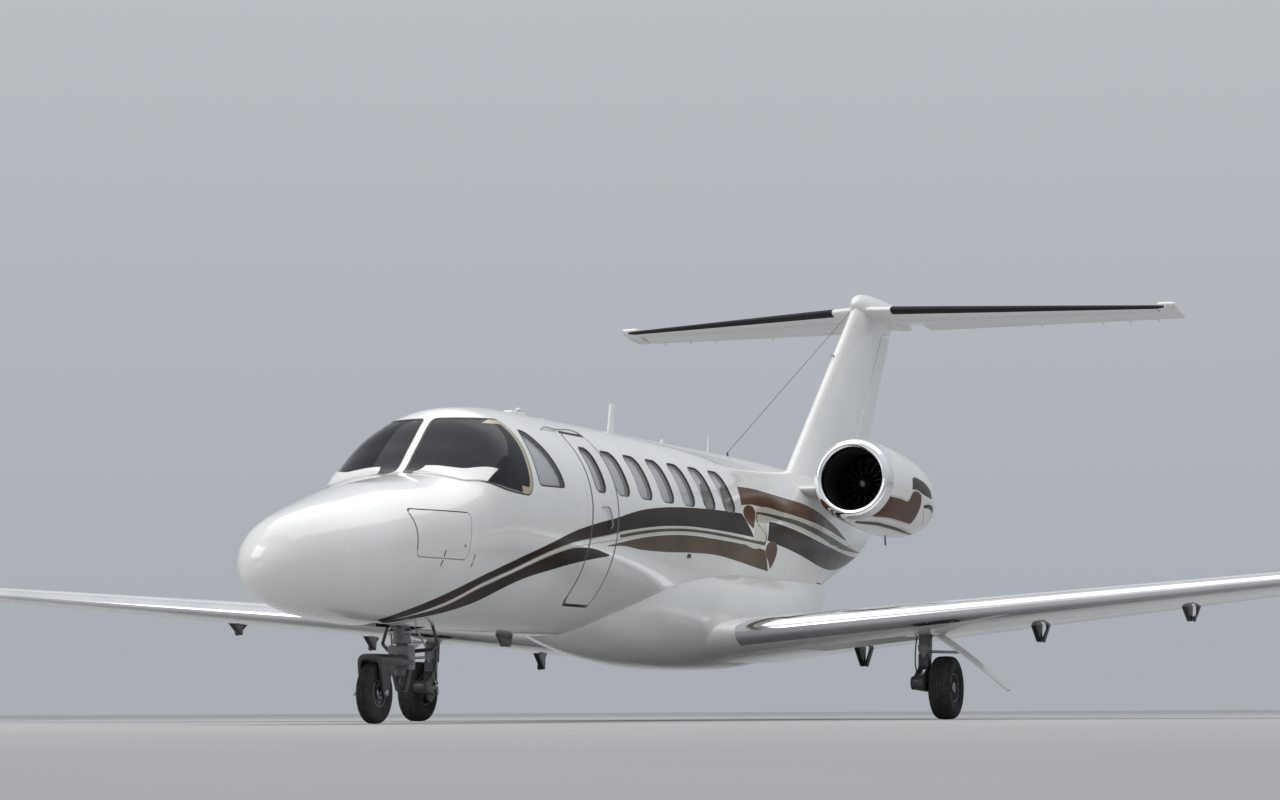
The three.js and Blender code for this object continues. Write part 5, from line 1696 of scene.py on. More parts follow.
def make_wheel(name, x, axle, size, outer=1):
    origin = (x, at(axle["station"]), axle["z"])
    body = f"{name}_body"
    tyre = turned_loop("tyre", tyre_profile(size), origin, (1, 0, 0), 120, TYRE)
    finish(tyre, f"{name}_tyre_ribbed", 40, body, "tyre_rubber", name.replace("wheel", "tyre"))
    cap = [*smooth_path(HUB_CAP, 12), (0.0245, 0.027), (0.0245, 0.0)]
    cap_at = (x + outer * size["width"] / 2 * 0.545, origin[1], origin[2])
    hub_cap = soften(turned_loop("cap", cap, cap_at, (outer, 0, 0), 40, STEEL))
    place(join(f"{name}_rim", [*rim_pieces(origin, size), hub_cap]), body, "wheel_metal", name)


NOSE_STRUT = {"station": 2.290, "low": 0.360, "split": 0.600}
FORK = {"inner": 0.074, "outer": 0.098, "low": 0.478, "high": 0.520}
FLOOR_Z = 0.975


def bevel_box(name, x0, x1, y0, y1, z0, z1, width, material):
    return bevelled(box(name, x0, x1, y0, y1, z0, z1, material), width, 3)


def fork_outline(half, low, high, radius):
    return rounded_polygon([(-half, low), (-half, high), (half, high), (half, low)], radius, 8)


def nose_fork_arch():
    """The fork: an arch over the tyre seen from ahead, cut to a pair of tapered arms seen from the side."""
    strut = NOSE_STRUT["station"]
    outside = fork_outline(FORK["outer"], 0.150, FORK["high"], 0.075)
    arch = plate("arch", "xz", outside, at(1.700), at(strut), DARK_GEAR)
    inside = fork_outline(FORK["inner"], 0.100, FORK["low"], 0.045)
    carve(arch, plate("inside", "xz", inside, at(1.600), at(strut - 0.09)))
    station = NOSE_AXLE["station"]
    z = NOSE_AXLE["z"]
    high = FORK["high"] + 0.01
    side = rounded_polygon([
        (at(1.730), high), (at(1.745), 0.400), (at(station - 0.042), z),
        (at(station - 0.022), z - 0.038), (at(station + 0.022), z - 0.038), (at(station + 0.042), z),
        (at(station + 0.120), 0.430), (at(strut), 0.440), (at(strut), high),
    ], 0.02)
    keep(arch, plate("side", "yz", side, -0.2, 0.2))
    return bevelled(arch, 0.005)


def make_nose_leg():
    s = NOSE_STRUT["station"]
    y = at(s)
    top = FLOOR_Z - 0.0453
    upper = turned("upper", [
        (0.060, 0.0003), (0.071, 0.006), (0.072, 0.035), (0.066, 0.045), (0.066, 0.140), (0.073, 0.150),
        (0.073, 0.200), (0.066, 0.210), (0.066, top - 0.61),
    ], (0, y, NOSE_STRUT["split"]), (0, 0, 1), 64, GREY_PAINT)
    flange = bevel_box("flange", -0.14, 0.14, y - 0.09, y + 0.09, top - 0.04, top, 0.008, GREY_PAINT)
    brace = soften(rod("brace", (0, at(s - 0.02), 0.690), (0, at(1.700), 0.901), 0.022, GREY_PAINT))
    collar = soften(rod("collar", (-0.09, at(s - 0.03), 0.692), (0.09, at(s - 0.03), 0.692), 0.020, STEEL))
    leg = join("nose_leg_upper", [soften(upper), flange, brace, collar])
    place(leg, AIRFRAME, "gear_metal", "nose_leg")


def make_nose_fork():
    s = NOSE_STRUT["station"]
    y = at(s)
    strut = soften(turned("strut", [
        (0.050, 0.0), (0.062, 0.010), (0.062, 0.085), (0.058, 0.090), (0.058, 0.100), (0.0655, 0.108),
        (0.0655, 0.170), (0.058, 0.178), (0.044, 0.182), (0.044, 0.2397),
    ], (0, y, NOSE_STRUT["low"]), (0, 0, 1), 64, GREY_PAINT))
    casting = bevel_box("casting", -0.092, 0.092, y - 0.060, y + 0.050, 0.405, 0.590, 0.012, GREY_PAINT)
    link = rounded_polygon([(-0.080, 0.410), (0.080, 0.410), (0.036, 0.240), (-0.036, 0.240)], 0.02)
    scissor = plate("link", "xz", link, at(s - 0.035), at(s + 0.030), DARK_GEAR)
    carve(scissor, box("hole", -0.024, 0.024, at(s - 0.1), at(s + 0.1), 0.300, 0.348))
    axle_at = Vector((0, at(NOSE_AXLE["station"]), NOSE_AXLE["z"]))
    end = Vector((NOSE_AXLE["end"], 0, 0))
    axle = soften(rod("axle", axle_at - end, axle_at + end, AXLE_RADIUS, STEEL))
    fork = join("nose_fork_arms", [strut, casting, nose_fork_arch(), bevelled(scissor, 0.004), axle])
    place(fork, "nose_fork_body", "gear_metal", "nose_fork")


def make_nose_gear():
    make_nose_leg()
    make_nose_fork()
    make_wheel("nose_wheel", 0, NOSE_AXLE, NOSE_TYRE)


def make_nose_beam():
    """The dark beam behind the nose leg, hung from the edges of its well."""
    y = at(2.430)
    outline = [
        (-0.240, 0.600), (-0.190, 0.546), (0.0, 0.530), (0.190, 0.546), (0.240, 0.600),
        (0.238, 0.622), (0.186, 0.574), (0.0, 0.560), (-0.186, 0.574), (-0.238, 0.622),
    ]
    pieces = [bevelled(plate("beam", "xz", outline, y - 0.015, y + 0.025, DARK_GEAR), 0.004)]
    for side in (1, -1):
        foot = (side * 0.232, y, 0.605)
        head = (side * 0.190, y, 0.740)
        pieces.append(soften(rod("hanger", foot, head, 0.012, DARK_GEAR)))
        stay_foot = (side * 0.150, y, 0.555)
        stay_head = (side * 0.100, at(2.300), 0.735)
        pieces.append(soften(rod("stay", stay_foot, stay_head, 0.008, STEEL)))
    place(join("nose_gear_beam", pieces), AIRFRAME, "gear_metal")


MAIN_DOOR = {"top_x": 2.560, "top_z": 0.737, "low_x": 3.190, "low_z": 0.246, "from": 7.700, "to": 8.010}
PIVOT = {"station": 7.690, "z": 0.320}
LEG_POST = 7.900


def main_castings(pivot, axle, post):
    """The casting at the leg's foot, its round knuckle and the trailing arm."""
    z = MAIN_AXLE["z"]
    outline = rounded_polygon([
        (pivot - 0.045, 0.350), (pivot + 0.010, 0.290), (post + 0.040, 0.400),
        (post + 0.050, 0.580), (post - 0.050, 0.580), (post - 0.060, 0.460),
    ], 0.02)
    casting = plate("casting", "yz", outline, LEG_X - 0.048, LEG_X + 0.048, DARK_GEAR)
    carve(casting, box("hole", LEG_X - 0.030, LEG_X + 0.030, pivot - 0.2, post + 0.2, 0.385, 0.440))
    knuckle = soften(turned("knuckle", [
        (0.040, 0.0), (0.056, 0.004), (0.060, 0.012), (0.060, 0.112), (0.056, 0.120), (0.040, 0.124),
    ], (LEG_X - 0.062, pivot, PIVOT["z"]), (1, 0, 0), 48, DARK_GEAR))
    outline = rounded_polygon([
        (pivot - 0.010, z + 0.075), (pivot - 0.010, z - 0.020),
        (axle + 0.045, z - 0.038), (axle + 0.045, z + 0.050),
    ], 0.03)
    arm = plate("arm", "yz", outline, LEG_X - 0.030, LEG_X + 0.030, DARK_GEAR)
    return [bevelled(casting, 0.006), knuckle, bevelled(arm, 0.008)]


def main_rods(top, axle, post):
    """The shock strut, the axle, the side brace, the pin in the wing and the door's link."""
    z = MAIN_AXLE["z"]
    pin = top - 0.06
    head = Vector((LEG_X, at(8.035), top - 0.080))
    foot = Vector((LEG_X, axle + 0.020, z + 0.030))
    middle = head.lerp(foot, 0.55)
    rods = [
        (head, middle, 0.030, GREY_PAINT),
        (middle, foot, 0.019, POLISHED),
        ((LEG_X - 0.042, axle, z), (MAIN_AXLE["x"] + 0.07, axle, z), AXLE_RADIUS, STEEL),
        ((LEG_X, post, top - 0.11), (LEG_X - 0.60, post, top - 0.08), 0.026, DARK_GEAR),
        ((LEG_X, post, pin), (LEG_X + 0.1097, post, pin), 0.040, STEEL),
        ((LEG_X, post, 0.600), (2.770, post, 0.588), 0.012, STEEL),
    ]
    return [soften(rod("rod", *row)) for row in rods]


def brake_hose(post, axle):
    return tube("hose", [
        (LEG_X - 0.050, post - 0.035, 0.800), (LEG_X - 0.072, post - 0.050, 0.620),
        (LEG_X - 0.070, post - 0.060, 0.470), (LEG_X - 0.062, post - 0.010, 0.380),
        (LEG_X - 0.045, axle - 0.020, 0.350), (LEG_X + 0.040, axle - 0.030, 0.360),
    ], 0.006, SEAL, 8)


def make_main_gear():
    top = wing_z(LEG_X) + 0.04
    pivot = at(PIVOT["station"])
    axle = at(MAIN_AXLE["station"])
    post = at(LEG_POST)
    column_leg = turned("post", [
        (0.046, 0.0), (0.052, 0.008), (0.054, 0.150), (0.062, 0.162), (0.062, 0.205), (0.054, 0.217),
        (0.054, top - 0.450),
    ], (LEG_X, post, 0.450), (0, 0, 1), 56, GREY_PAINT)
    brake = turned("brake", [
        (0.070, 0.0), (0.098, 0.004), (0.104, 0.012), (0.104, 0.030), (0.098, 0.036), (0.070, 0.040),
    ], (LEG_X + 0.030, axle, MAIN_AXLE["z"]), (1, 0, 0), 48, DARK_STEEL)
    leg = join("main_leg_left_parts", [
        soften(column_leg), *main_castings(pivot, axle, post), *main_rods(top, axle, post),
        soften(brake), brake_hose(post, axle),
    ])
    other = mirrored(leg, "main_leg_right_parts")
    place(leg, AIRFRAME, "gear_metal", "main_leg_left")
    place(soften(other), AIRFRAME, "gear_metal", "main_leg_right")
    door = main_gear_door()
    twin = mirrored(door, "twin")
    finish(door, "main_gear_door_left", 40, AIRFRAME, "white_paint")
    finish(twin, "main_gear_door_right", 40, AIRFRAME, "white_paint")
    for side, name in SIDES:
        make_wheel(f"main_wheel_{name}", side * MAIN_AXLE["x"], MAIN_AXLE, MAIN_TYRE, side)


def main_gear_door():
    """The slanted door outboard of the main wheel, bowed a little and rounded at its lower corners."""
    d = MAIN_DOOR
    rows = 15
    cols = 25
    lengthwise = np.linspace(0, 1, cols)
    top = np.zeros((rows, cols, 3))
    for r, v in enumerate(np.linspace(0, 1, rows)):
        rounding = 0.015 * max(0.0, (v - 0.85) / 0.15) ** 2
        start = d["from"] + 0.085 * v**1.3 + rounding
        end = d["to"] - 0.115 * v**1.3 - rounding
        bow = 0.016 * math.sin(math.pi * v)
        top[r, :, 0] = d["top_x"] + v * (d["low_x"] - d["top_x"]) + bow * 0.6 + 0.012
        top[r, :, 1] = at(start + lengthwise * (end - start))
        top[r, :, 2] = d["top_z"] + v * (d["low_z"] - d["top_z"]) + bow * 0.8 + 0.010
    bottom = top - np.array([0.010, 0.0, 0.012])
    return sheet_body("door", top, bottom, WHITE)


# Cabin
def cushion(centre, half, tilt, channels=(), power=5.0, cuts=14):
    """A crowned leather pad: a rounded box that pulls in between its corners, with sewn channels."""
    shape = bmesh.new()
    bmesh.ops.create_cube(shape, size=2.0)
    bmesh.ops.subdivide_edges(shape, edges=shape.edges[:], cuts=cuts, use_grid_fill=True)
    points = np.array([v.co[:] for v in shape.verts])
    reach = np.sum(np.abs(points) ** power, axis=1) ** (1 / power)
    points = points / reach[:, None]
    pinch = 1 - 0.05 * (1 - points[:, 1] ** 2) * (np.abs(points[:, 0]) > 0.6)
    points[:, 0] *= pinch
    points[:, 1] *= 1 - 0.04 * (1 - points[:, 0] ** 2)
    high = np.clip(points[:, 2], 0, None) ** 2
    points[:, 2] += 0.10 * high * (1 - points[:, 0] ** 2) * (1 - points[:, 1] ** 2) - 0.05 * high
    for channel in channels:
        points[:, 2] -= 0.10 * high * np.exp(-(((points[:, 1] - channel) / 0.045) ** 2))
    piping = np.exp(-(((np.abs(points[:, 2]) - 0.55) / 0.05) ** 2))
    spread = np.maximum(np.abs(points[:, 0]), np.abs(points[:, 1]))
    points[:, :2] *= (1 - 0.018 * piping * (spread > 0.8))[:, None]
    turn = Matrix.Rotation(tilt, 3, "X")
    for vert, point in zip(shape.verts, points):
        vert.co = Vector(centre) + turn @ Vector(np.asarray(half) * point)
    mesh = bpy.data.meshes.new("pad")
    shape.to_mesh(mesh)
    shape.free()
    mesh.materials.append(SEAT_LEATHER)
    mesh.shade_smooth()
    return new_object("pad", mesh)


def seat_part(name, piece, fill, *nodes):
    piece.name = name
    place(piece, AIRFRAME, "leather", *nodes)


SEAT_HALF = 0.225 * 0.9
SEAT_LEAN = 0.22
HEAD_LEAN = 0.05


def make_seat(label, x, station, facing, *nodes):
    """A club seat: base cushion, leaning back, head rest, pan, shell and pedestal."""
    w = SEAT_HALF
    y = at(station)
    middle = (x, y - facing * 0.015, FLOOR_Z + 0.386)
    base = cushion(middle, (w * 0.94, 0.225, 0.062), 0.0, (-0.45, 0.0, 0.45))
    seat_part(f"{label}_base_pad", base, 0.7, *nodes)
    middle = (x, y + facing * 0.305, FLOOR_Z + 0.680)
    lean = facing * (math.pi / 2 - SEAT_LEAN)
    rest = cushion(middle, (w * 0.94, 0.265, 0.052), lean, (-0.5, -0.1, 0.3))
    seat_part(f"{label}_back_pad", rest, 0.7)
    middle = (x, y + facing * 0.370, FLOOR_Z + 0.985)
    head = cushion(middle, (w * 0.62, 0.075, 0.045), facing * (math.pi / 2 - HEAD_LEAN))
    seat_part(f"{label}_head_pad", head, 0.8)
    pan = bevel_box(
        "pan", x - w * 0.9, x + w * 0.9, y - 0.22, y + 0.22,
        FLOOR_Z + 0.310, FLOOR_Z + 0.338, 0.006, PANEL_BLACK,
    )
    stand = bevel_box(
        "stand", x - 0.085, x + 0.085, y - 0.12, y + 0.12,
        FLOOR_Z + 0.012, FLOOR_Z + 0.318, 0.012, PANEL_BLACK,
    )
    shell = bevel_box("shell", x - w * 0.86, x + w * 0.86, -0.012, 0.012, -0.29, 0.31, 0.008, LINING)
    move = Matrix.Translation((0, y + facing * 0.355, FLOOR_Z + 0.690))
    shell.data.transform(move @ Matrix.Rotation(-facing * SEAT_LEAN, 4, "X"))
    place(join(f"{label}_frame", [pan, stand, shell]), AIRFRAME, "panel")


CABIN_SEAT_X = 0.355
PILOT_SEAT_X = 0.340
CABIN_ROWS = [(5.150, -1), (6.000, 1), (6.900, 1), (7.750, 1)]
PANEL_OUTLINE = [
    (2.330, 1.100), (2.650, 1.100), (2.720, 1.250), (2.760, 1.830),
    (2.700, 1.890), (2.420, 1.870), (2.330, 1.800),
]


def seat_rail(x, start, end):
    low = FLOOR_Z + 0.0005
    return bevel_box("rail", x - 0.012, x + 0.012, at(start), at(end), low, FLOOR_Z + 0.013, 0.003, STEEL)


def make_interior():
    for i, (station, facing) in enumerate(CABIN_ROWS):
        for side, name in SIDES:
            nodes = ["cabin_seats"] if i == 0 and side == 1 else []
            make_seat(f"cabin_seat_{i + 1}_{name}", side * CABIN_SEAT_X, station, facing, *nodes)
    for side, name in SIDES:
        nodes = ["pilot_seats"] if side == 1 else []
        make_seat(f"pilot_seat_{name}", side * PILOT_SEAT_X, 3.330, 1, *nodes)
    rails = []
    for side in (1, -1):
        for shift in (-0.07, 0.07):
            rails.append(seat_rail(side * CABIN_SEAT_X + shift, 4.98, 7.99))
            rails.append(seat_rail(side * PILOT_SEAT_X + shift, 3.13, 3.53))
    place(join("seat_rails", rails), AIRFRAME, "dark_metal")
    outline = rounded_polygon([(at(station), z) for station, z in PANEL_OUTLINE], 0.04)
    panel = plate("panel", "yz", outline, -0.640, 0.640, PANEL_BLACK)
    keep(panel, hull_body(2.2, 3.4, -0.086))
    stand = bevel_box("stand", -0.12, 0.12, at(2.72), at(2.98), FLOOR_Z + 0.0005, 1.300, 0.015, PANEL_BLACK)
    place(join("instrument_board", [soften(panel), stand]), AIRFRAME, "panel", "instrument_panel")


# Livery: thin painted shapes that lie on the skin
# Each row is upper edge (station, degrees up from the side), then lower edge (station, degrees).
RIBBON_A = [
    (1.450, -71.0, 1.560, -73.0), (1.573, -58.9, 1.700, -65.0), (1.766, -49.0, 1.850, -57.3),
    (1.998, -40.5, 2.030, -50.0), (2.277, -33.8, 2.300, -40.6), (2.603, -28.9, 2.620, -34.4),
    (2.952, -23.7, 2.960, -28.6), (3.339, -17.6, 3.376, -21.3), (3.770, -10.7, 3.810, -15.9),
    (4.262, -5.2, 4.298, -12.2), (4.683, -1.3, 4.702, -8.4), (5.128, 3.9, 5.132, -5.5),
    (5.713, 8.0, 5.694, -2.7), (6.316, 10.2, 6.282, -1.2), (6.871, 11.2, 6.896, -1.1),
    (7.300, 11.6, 7.400, -1.5), (7.520, 11.6, 7.740, -2.0), (7.630, 11.4, 7.905, -2.3),
]
LEAF_A = [
    (7.850, 18.1, 7.900, 18.1), (7.765, 16.7, 7.985, 16.6), (7.700, 14.6, 8.004, 14.0),
    (7.672, 12.4, 7.984, 11.4), (7.690, 9.0, 7.950, 8.6), (7.770, 5.8, 7.925, 5.3), (7.870, 3.2, 7.900, 2.8),
]
RIBBON_B = [
    (1.560, -73.5, 1.640, -75.0), (1.780, -63.0, 1.860, -66.5), (2.061, -53.8, 2.149, -59.9),
    (2.386, -41.8, 2.548, -50.2), (2.700, -35.6, 2.806, -42.2), (3.050, -29.4, 3.121, -35.4),
    (3.396, -23.6, 3.501, -30.5), (3.827, -18.6, 3.927, -25.8), (4.200, -17.8, 4.250, -23.0),
    (4.560, -19.8, 4.580, -20.6),
]
RIBBON_C = [
    (4.500, -15.6, 4.510, -16.0), (4.786, -13.1, 4.799, -14.9), (5.152, -10.2, 5.195, -15.7),
    (5.705, -7.2, 5.763, -15.5), (6.292, -5.7, 6.344, -14.4), (6.906, -5.8, 6.956, -14.0),
    (7.547, -6.5, 7.618, -16.2), (7.991, -7.3, 8.100, -18.4), (8.225, -8.4, 8.400, -19.6),
]
LEAF_C = [
    (8.365, -3.2, 8.410, -3.1), (8.285, -4.6, 8.500, -3.9), (8.245, -6.4, 8.542, -5.8),
    (8.236, -8.6, 8.550, -8.4), (8.262, -10.8, 8.530, -11.4), (8.330, -13.4, 8.502, -14.0),
    (8.420, -17.4, 8.450, -17.8),
]
RIBBON_D = [
    (8.344, 8.9, 8.270, -3.0), (8.549, 8.5, 8.500, -4.2), (9.034, 5.7, 8.985, -7.5),
    (9.568, 1.0, 9.500, -12.8), (10.234, -5.9, 10.100, -20.8), (11.000, -16.0, 10.900, -31.5),
    (11.650, -27.0, 11.600, -39.0), (12.200, -38.5, 12.210, -40.0),
]
RIBBON_E = [
    (7.775, 30.9, 7.670, 17.2), (7.954, 31.2, 7.880, 18.6), (8.307, 31.0, 8.250, 18.3),
    (8.599, 29.8, 8.560, 17.7), (9.011, 28.0, 8.960, 16.2), (9.501, 25.8, 9.420, 13.8),
    (9.900, 22.0, 9.871, 10.6), (10.300, 15.0, 10.394, 4.8), (10.750, 5.0, 10.850, -1.6),
    (11.150, -5.4, 11.160, -6.2),
]
BAND = [
    (4.705, -8.6, 4.726, -12.4), (5.132, -5.6, 5.148, -9.6), (5.694, -2.8, 5.701, -6.6),
    (6.282, -1.3, 6.287, -5.1), (6.896, -1.2, 6.903, -5.2), (7.536, -1.9, 7.544, -5.9),
    (7.880, -2.4, 8.120, -6.9), (7.935, 2.1, 8.262, -3.4), (7.960, 8.4, 8.262, 3.1),
    (8.000, 14.4, 8.297, 8.5), (8.140, 17.2, 8.443, 9.9), (9.003, 15.4, 8.944, 7.6),
    (9.795, 9.9, 9.753, 0.2), (10.595, 1.0, 10.747, -12.0), (11.250, -9.0, 11.300, -20.0),
    (11.850, -21.0, 11.870, -28.0), (12.400, -35.0, 12.405, -36.0),
]
STRIPE_LOW = [
    (4.705, -9.8, 4.726, -11.2), (5.132, -6.8, 5.148, -8.3), (5.694, -4.0, 5.701, -5.4),
    (6.282, -2.5, 6.287, -3.9), (6.896, -2.4, 6.903, -3.9), (7.536, -3.2, 7.544, -4.7),
    (7.980, -3.9, 8.000, -5.5), (8.200, -4.0, 8.215, -5.9),
]
STRIPE_STEP = [
    (8.192, -5.4, 8.214, -5.4), (8.220, -2.8, 8.242, -2.8), (8.226, -0.8, 8.248, -0.8),
    (8.168, 1.9, 8.192, 1.7), (8.046, 5.3, 8.072, 5.1), (7.994, 8.8, 8.018, 8.8), (8.030, 13.4, 8.054, 12.8),
]
STRIPE_HIGH = [
    (8.030, 14.2, 8.050, 12.8), (8.260, 14.5, 8.250, 12.6), (8.600, 13.9, 8.580, 11.4),
    (9.000, 12.9, 8.980, 9.6), (9.795, 7.2, 9.780, 2.8), (10.595, -2.4, 10.640, -8.6),
    (11.260, -12.4, 11.280, -16.8), (11.850, -23.2, 11.860, -25.8), (12.340, -33.6, 12.345, -34.4),
]
PIN_UPPER = [
    (2.010, -50.6), (2.352, -39.1), (2.831, -30.7), (3.376, -21.3), (3.810, -15.9), (4.298, -12.0),
    (4.710, -8.9),
]
PIN_LOWER = [
    (2.061, -53.4), (2.386, -41.2), (2.854, -32.6), (3.396, -23.2), (3.827, -18.2), (4.311, -14.6),
    (4.730, -12.1),
]
# About how many metres a degree is, along the hull and along a nacelle
DEGREE = 0.0155
NACELLE_DEGREE = 0.007
# How far the under side of paint lies below the skin
PAINT_UNDER = -0.0012


def line_rows(points, width):
    """Rows for a thin line of one width through the given points."""
    half = width / 2 / DEGREE
    return [(station, angle + half, station, angle - half) for station, angle in points]


def between_edges(path, count, spread=0.0):
    """Distances along and angles of points from the upper to the lower edge of each row."""
    part = np.linspace(0, 1, count)[None]
    along = path[:, 0:1] * (1 - part) + path[:, 2:3] * part
    angles = (path[:, 1:2] + spread) * (1 - part) + (path[:, 3:4] - spread) * part
    return along, np.radians(angles)


def patch(rows, material, outer, inner, across, count):
    """A patch of skin between two offsets, bounded by rows of upper and lower edge points."""
    path = smooth_path(rows, count, (1, DEGREE, 1, DEGREE))
    stations, angles = between_edges(path, across)
    top = skin_points(stations, angles, outer)
    return sheet_body("patch", top, skin_points(stations, angles, inner), material)


def decal(rows, material, lift, across):
    """A thin painted patch that stands out of the skin by its lift."""
    table = np.asarray(rows, float)
    length = np.sum(np.linalg.norm(np.diff(table[:, :2] * (1, DEGREE), axis=0), axis=1))
    return patch(table, material, lift, PAINT_UNDER, across, max(16, int(length / 0.04)))


def split_decal(name, piece, body, keepers, cutters):
    """The part of a painted shape that belongs to one body."""
    for tool in keepers:
        keep(piece, tool)
    if cutters:
        carve(piece, *cutters)
    if not piece.data.polygons:
        remove(piece)
        return
    finish_skin(piece, name, body)


def copied(piece):
    return new_object("copy", piece.data.copy())


def paint_shape(name, rows, material, lift=0.0009, across=8):
    """A painted shape on both sides of the hull, split where it crosses a door."""
    table = np.asarray(rows)
    start = table[:, [0, 2]].min()
    end = table[:, [0, 2]].max()
    left = decal(rows, material, lift, across)
    right = mirrored(left, "decal")
    cutters = []
    if start < DOOR["back"] and end > DOOR["front"]:
        keepers = [door_region(0.0), behind_door_front()]
        split_decal(f"{name}_on_door", copied(left), DOOR_BODY, keepers, [])
        cutters.append(door_region(SWING_GAP))
    if end > TAIL_DOOR["from"]:
        keepers = [panel_prism(TAIL_DOOR, 0.0)]
        split_decal(f"{name}_on_tail_door", copied(left), "tail_baggage_door_body", keepers, [])
        cutters.append(panel_prism(TAIL_DOOR, SWING_GAP))
    meets_windows = start < 7.5 and end > 5.0
    for side, suffix, piece, tools in ((1, "left", left, cutters), (-1, "right", right, [])):
        if meets_windows:
            tools = tools + [cabin_window_prism(i, 0.002, side) for i in (3, 4, 5)]
        split_decal(f"{name}_{suffix}", piece, AIRFRAME, [], tools)


def paint_livery():
    paint_shape("ribbon_brown", RIBBON_A, DARK_BROWN, across=12)
    paint_shape("ribbon_brown_tip", RIBBON_B, DARK_BROWN, across=10)
    paint_shape("ribbon_taupe", RIBBON_C, TAUPE, across=10)
    paint_shape("ribbon_aft", RIBBON_D, DARK_BROWN, across=14)
    paint_shape("ribbon_high", RIBBON_E, BROWN, across=14)
    paint_shape("band_cream", BAND, CREAM, 0.0011, across=10)
    for i, rows in enumerate((STRIPE_LOW, STRIPE_STEP, STRIPE_HIGH)):
        paint_shape(f"band_stripe_{i + 1}", rows, STRIPE_GREEN, 0.0014, across=5)
    paint_shape("leaf_front", LEAF_A, BROWN, 0.0015, across=7)
    paint_shape("leaf_rear", LEAF_C, TAUPE, 0.0015, across=7)
    for stem, rows in (("leaf_front", LEAF_A), ("leaf_rear", LEAF_C)):
        for edge, columns in (("edge", (0, 1)), ("rim", (2, 3))):
            points = [(row[columns[0]], row[columns[1]]) for row in rows]
            outline = [(s - 0.0035, a, s + 0.0035, a) for s, a in points]
            paint_shape(f"{stem}_{edge}", outline, PINSTRIPE, 0.0018, across=2)
    paint_shape("pinstripe_upper", line_rows(PIN_UPPER, 0.008), PINSTRIPE, 0.0013, across=3)
    paint_shape("pinstripe_lower", line_rows(PIN_LOWER, 0.008), PINSTRIPE, 0.0013, across=3)


# Ribbons on the outer side of a nacelle: each row is upper edge (distance behind the lip, degrees up
# from straight outboard), then lower edge.
NACELLE_RIBBON = [
    (0.113, -25.2, 0.113, -63.0), (0.358, -22.4, 0.312, -55.7), (0.600, -20.0, 0.540, -51.4),
    (0.640, -10.0, 0.700, -50.3), (0.750, -4.2, 0.840, -49.3), (0.858, -4.3, 0.930, -48.7),
    (0.944, -8.0, 1.010, -48.2), (0.985, -20.0, 1.026, -44.0),
]
NACELLE_CREST = [
    (0.645, 9.0, 0.631, -4.0), (0.697, 13.4, 0.773, -1.9), (0.927, 14.8, 0.916, -2.9),
    (1.182, 11.0, 1.071, -4.1), (1.325, 2.4, 1.300, -3.6), (1.353, -2.6, 1.353, -3.3),
]
NACELLE_STRIPE = [
    (0.113, -86.0, 0.180, -92.0), (0.200, -75.0, 0.300, -80.5), (0.317, -69.1, 0.418, -74.1),
    (0.590, -63.7, 0.702, -69.0), (0.950, -61.5, 1.060, -66.6), (1.460, -65.1, 1.495, -69.5),
]
NACELLE_HOOK = [
    (1.090, -17.1, 1.104, -20.4), (1.206, -13.7, 1.160, -19.9), (1.430, -12.9, 1.301, -18.2),
    (1.513, -16.6, 1.454, -19.6), (1.528, -20.0, 1.528, -21.8),
]
NACELLE_PIN = [(1.124, -23.1, 1.118, -24.4), (1.247, -31.3, 1.240, -32.6), (1.396, -41.3, 1.390, -42.6)]


def nacelle_points(along, angles, lift):
    """Points of the left nacelle's skin, moved out by a lift."""
    radius = (nacelle_radius(along) + lift)[..., None]
    up = np.array([0.0, math.sin(ENGINE_TILT), math.cos(ENGINE_TILT)])
    across = np.cos(angles)[..., None] * np.array([1.0, 0.0, 0.0])
    around = across + np.sin(angles)[..., None] * up
    return np.array(engine_point(0)) + along[..., None] * np.array(ENGINE_WAY) + radius * around


def nacelle_shape(stem, rows, material, lift, spread=0.0):
    """A painted shape on both nacelles, with its edges moved apart by some degrees."""
    path = smooth_path(rows, 44, (1, NACELLE_DEGREE, 1, NACELLE_DEGREE))
    along, angles = between_edges(path, 14, spread)
    outer = nacelle_points(along, angles, lift)
    left = sheet_body("shape", outer, nacelle_points(along, angles, PAINT_UNDER), material)
    right = mirrored(left, "shape")
    finish(left, f"{stem}_left", 30, AIRFRAME, "white_paint")
    finish(right, f"{stem}_right", 30, AIRFRAME, "white_paint")


def paint_nacelles():
    nacelle_shape("nacelle_ribbon_rim", NACELLE_RIBBON, CREAM, 0.0008, 3.0)
    nacelle_shape("nacelle_ribbon", NACELLE_RIBBON, BROWN, 0.0014)
    nacelle_shape("nacelle_crest", NACELLE_CREST, DARK_BROWN, 0.0016)
    nacelle_shape("nacelle_band", NACELLE_STRIPE, CREAM, 0.0010, 3.5)
    nacelle_shape("nacelle_stripe", NACELLE_STRIPE, DARK_BROWN, 0.0016)
    nacelle_shape("nacelle_hook", NACELLE_HOOK, DARK_BROWN, 0.0014)
    nacelle_shape("nacelle_pinstripe", NACELLE_PIN, PINSTRIPE, 0.0014)


# Latches of the nose doors: body, then station and degrees at both ends
NOSE_LATCHES = [
    ("door", (1.690, -10.8), (1.679, -15.0)), (AIRFRAME, (1.676, -17.0), (1.668, -20.9)),
    (AIRFRAME, (2.120, -17.5), (2.118, -21.0)), (AIRFRAME, (2.117, -22.0), (2.116, -25.0)),
]
LATCH_WIDTH = 0.012


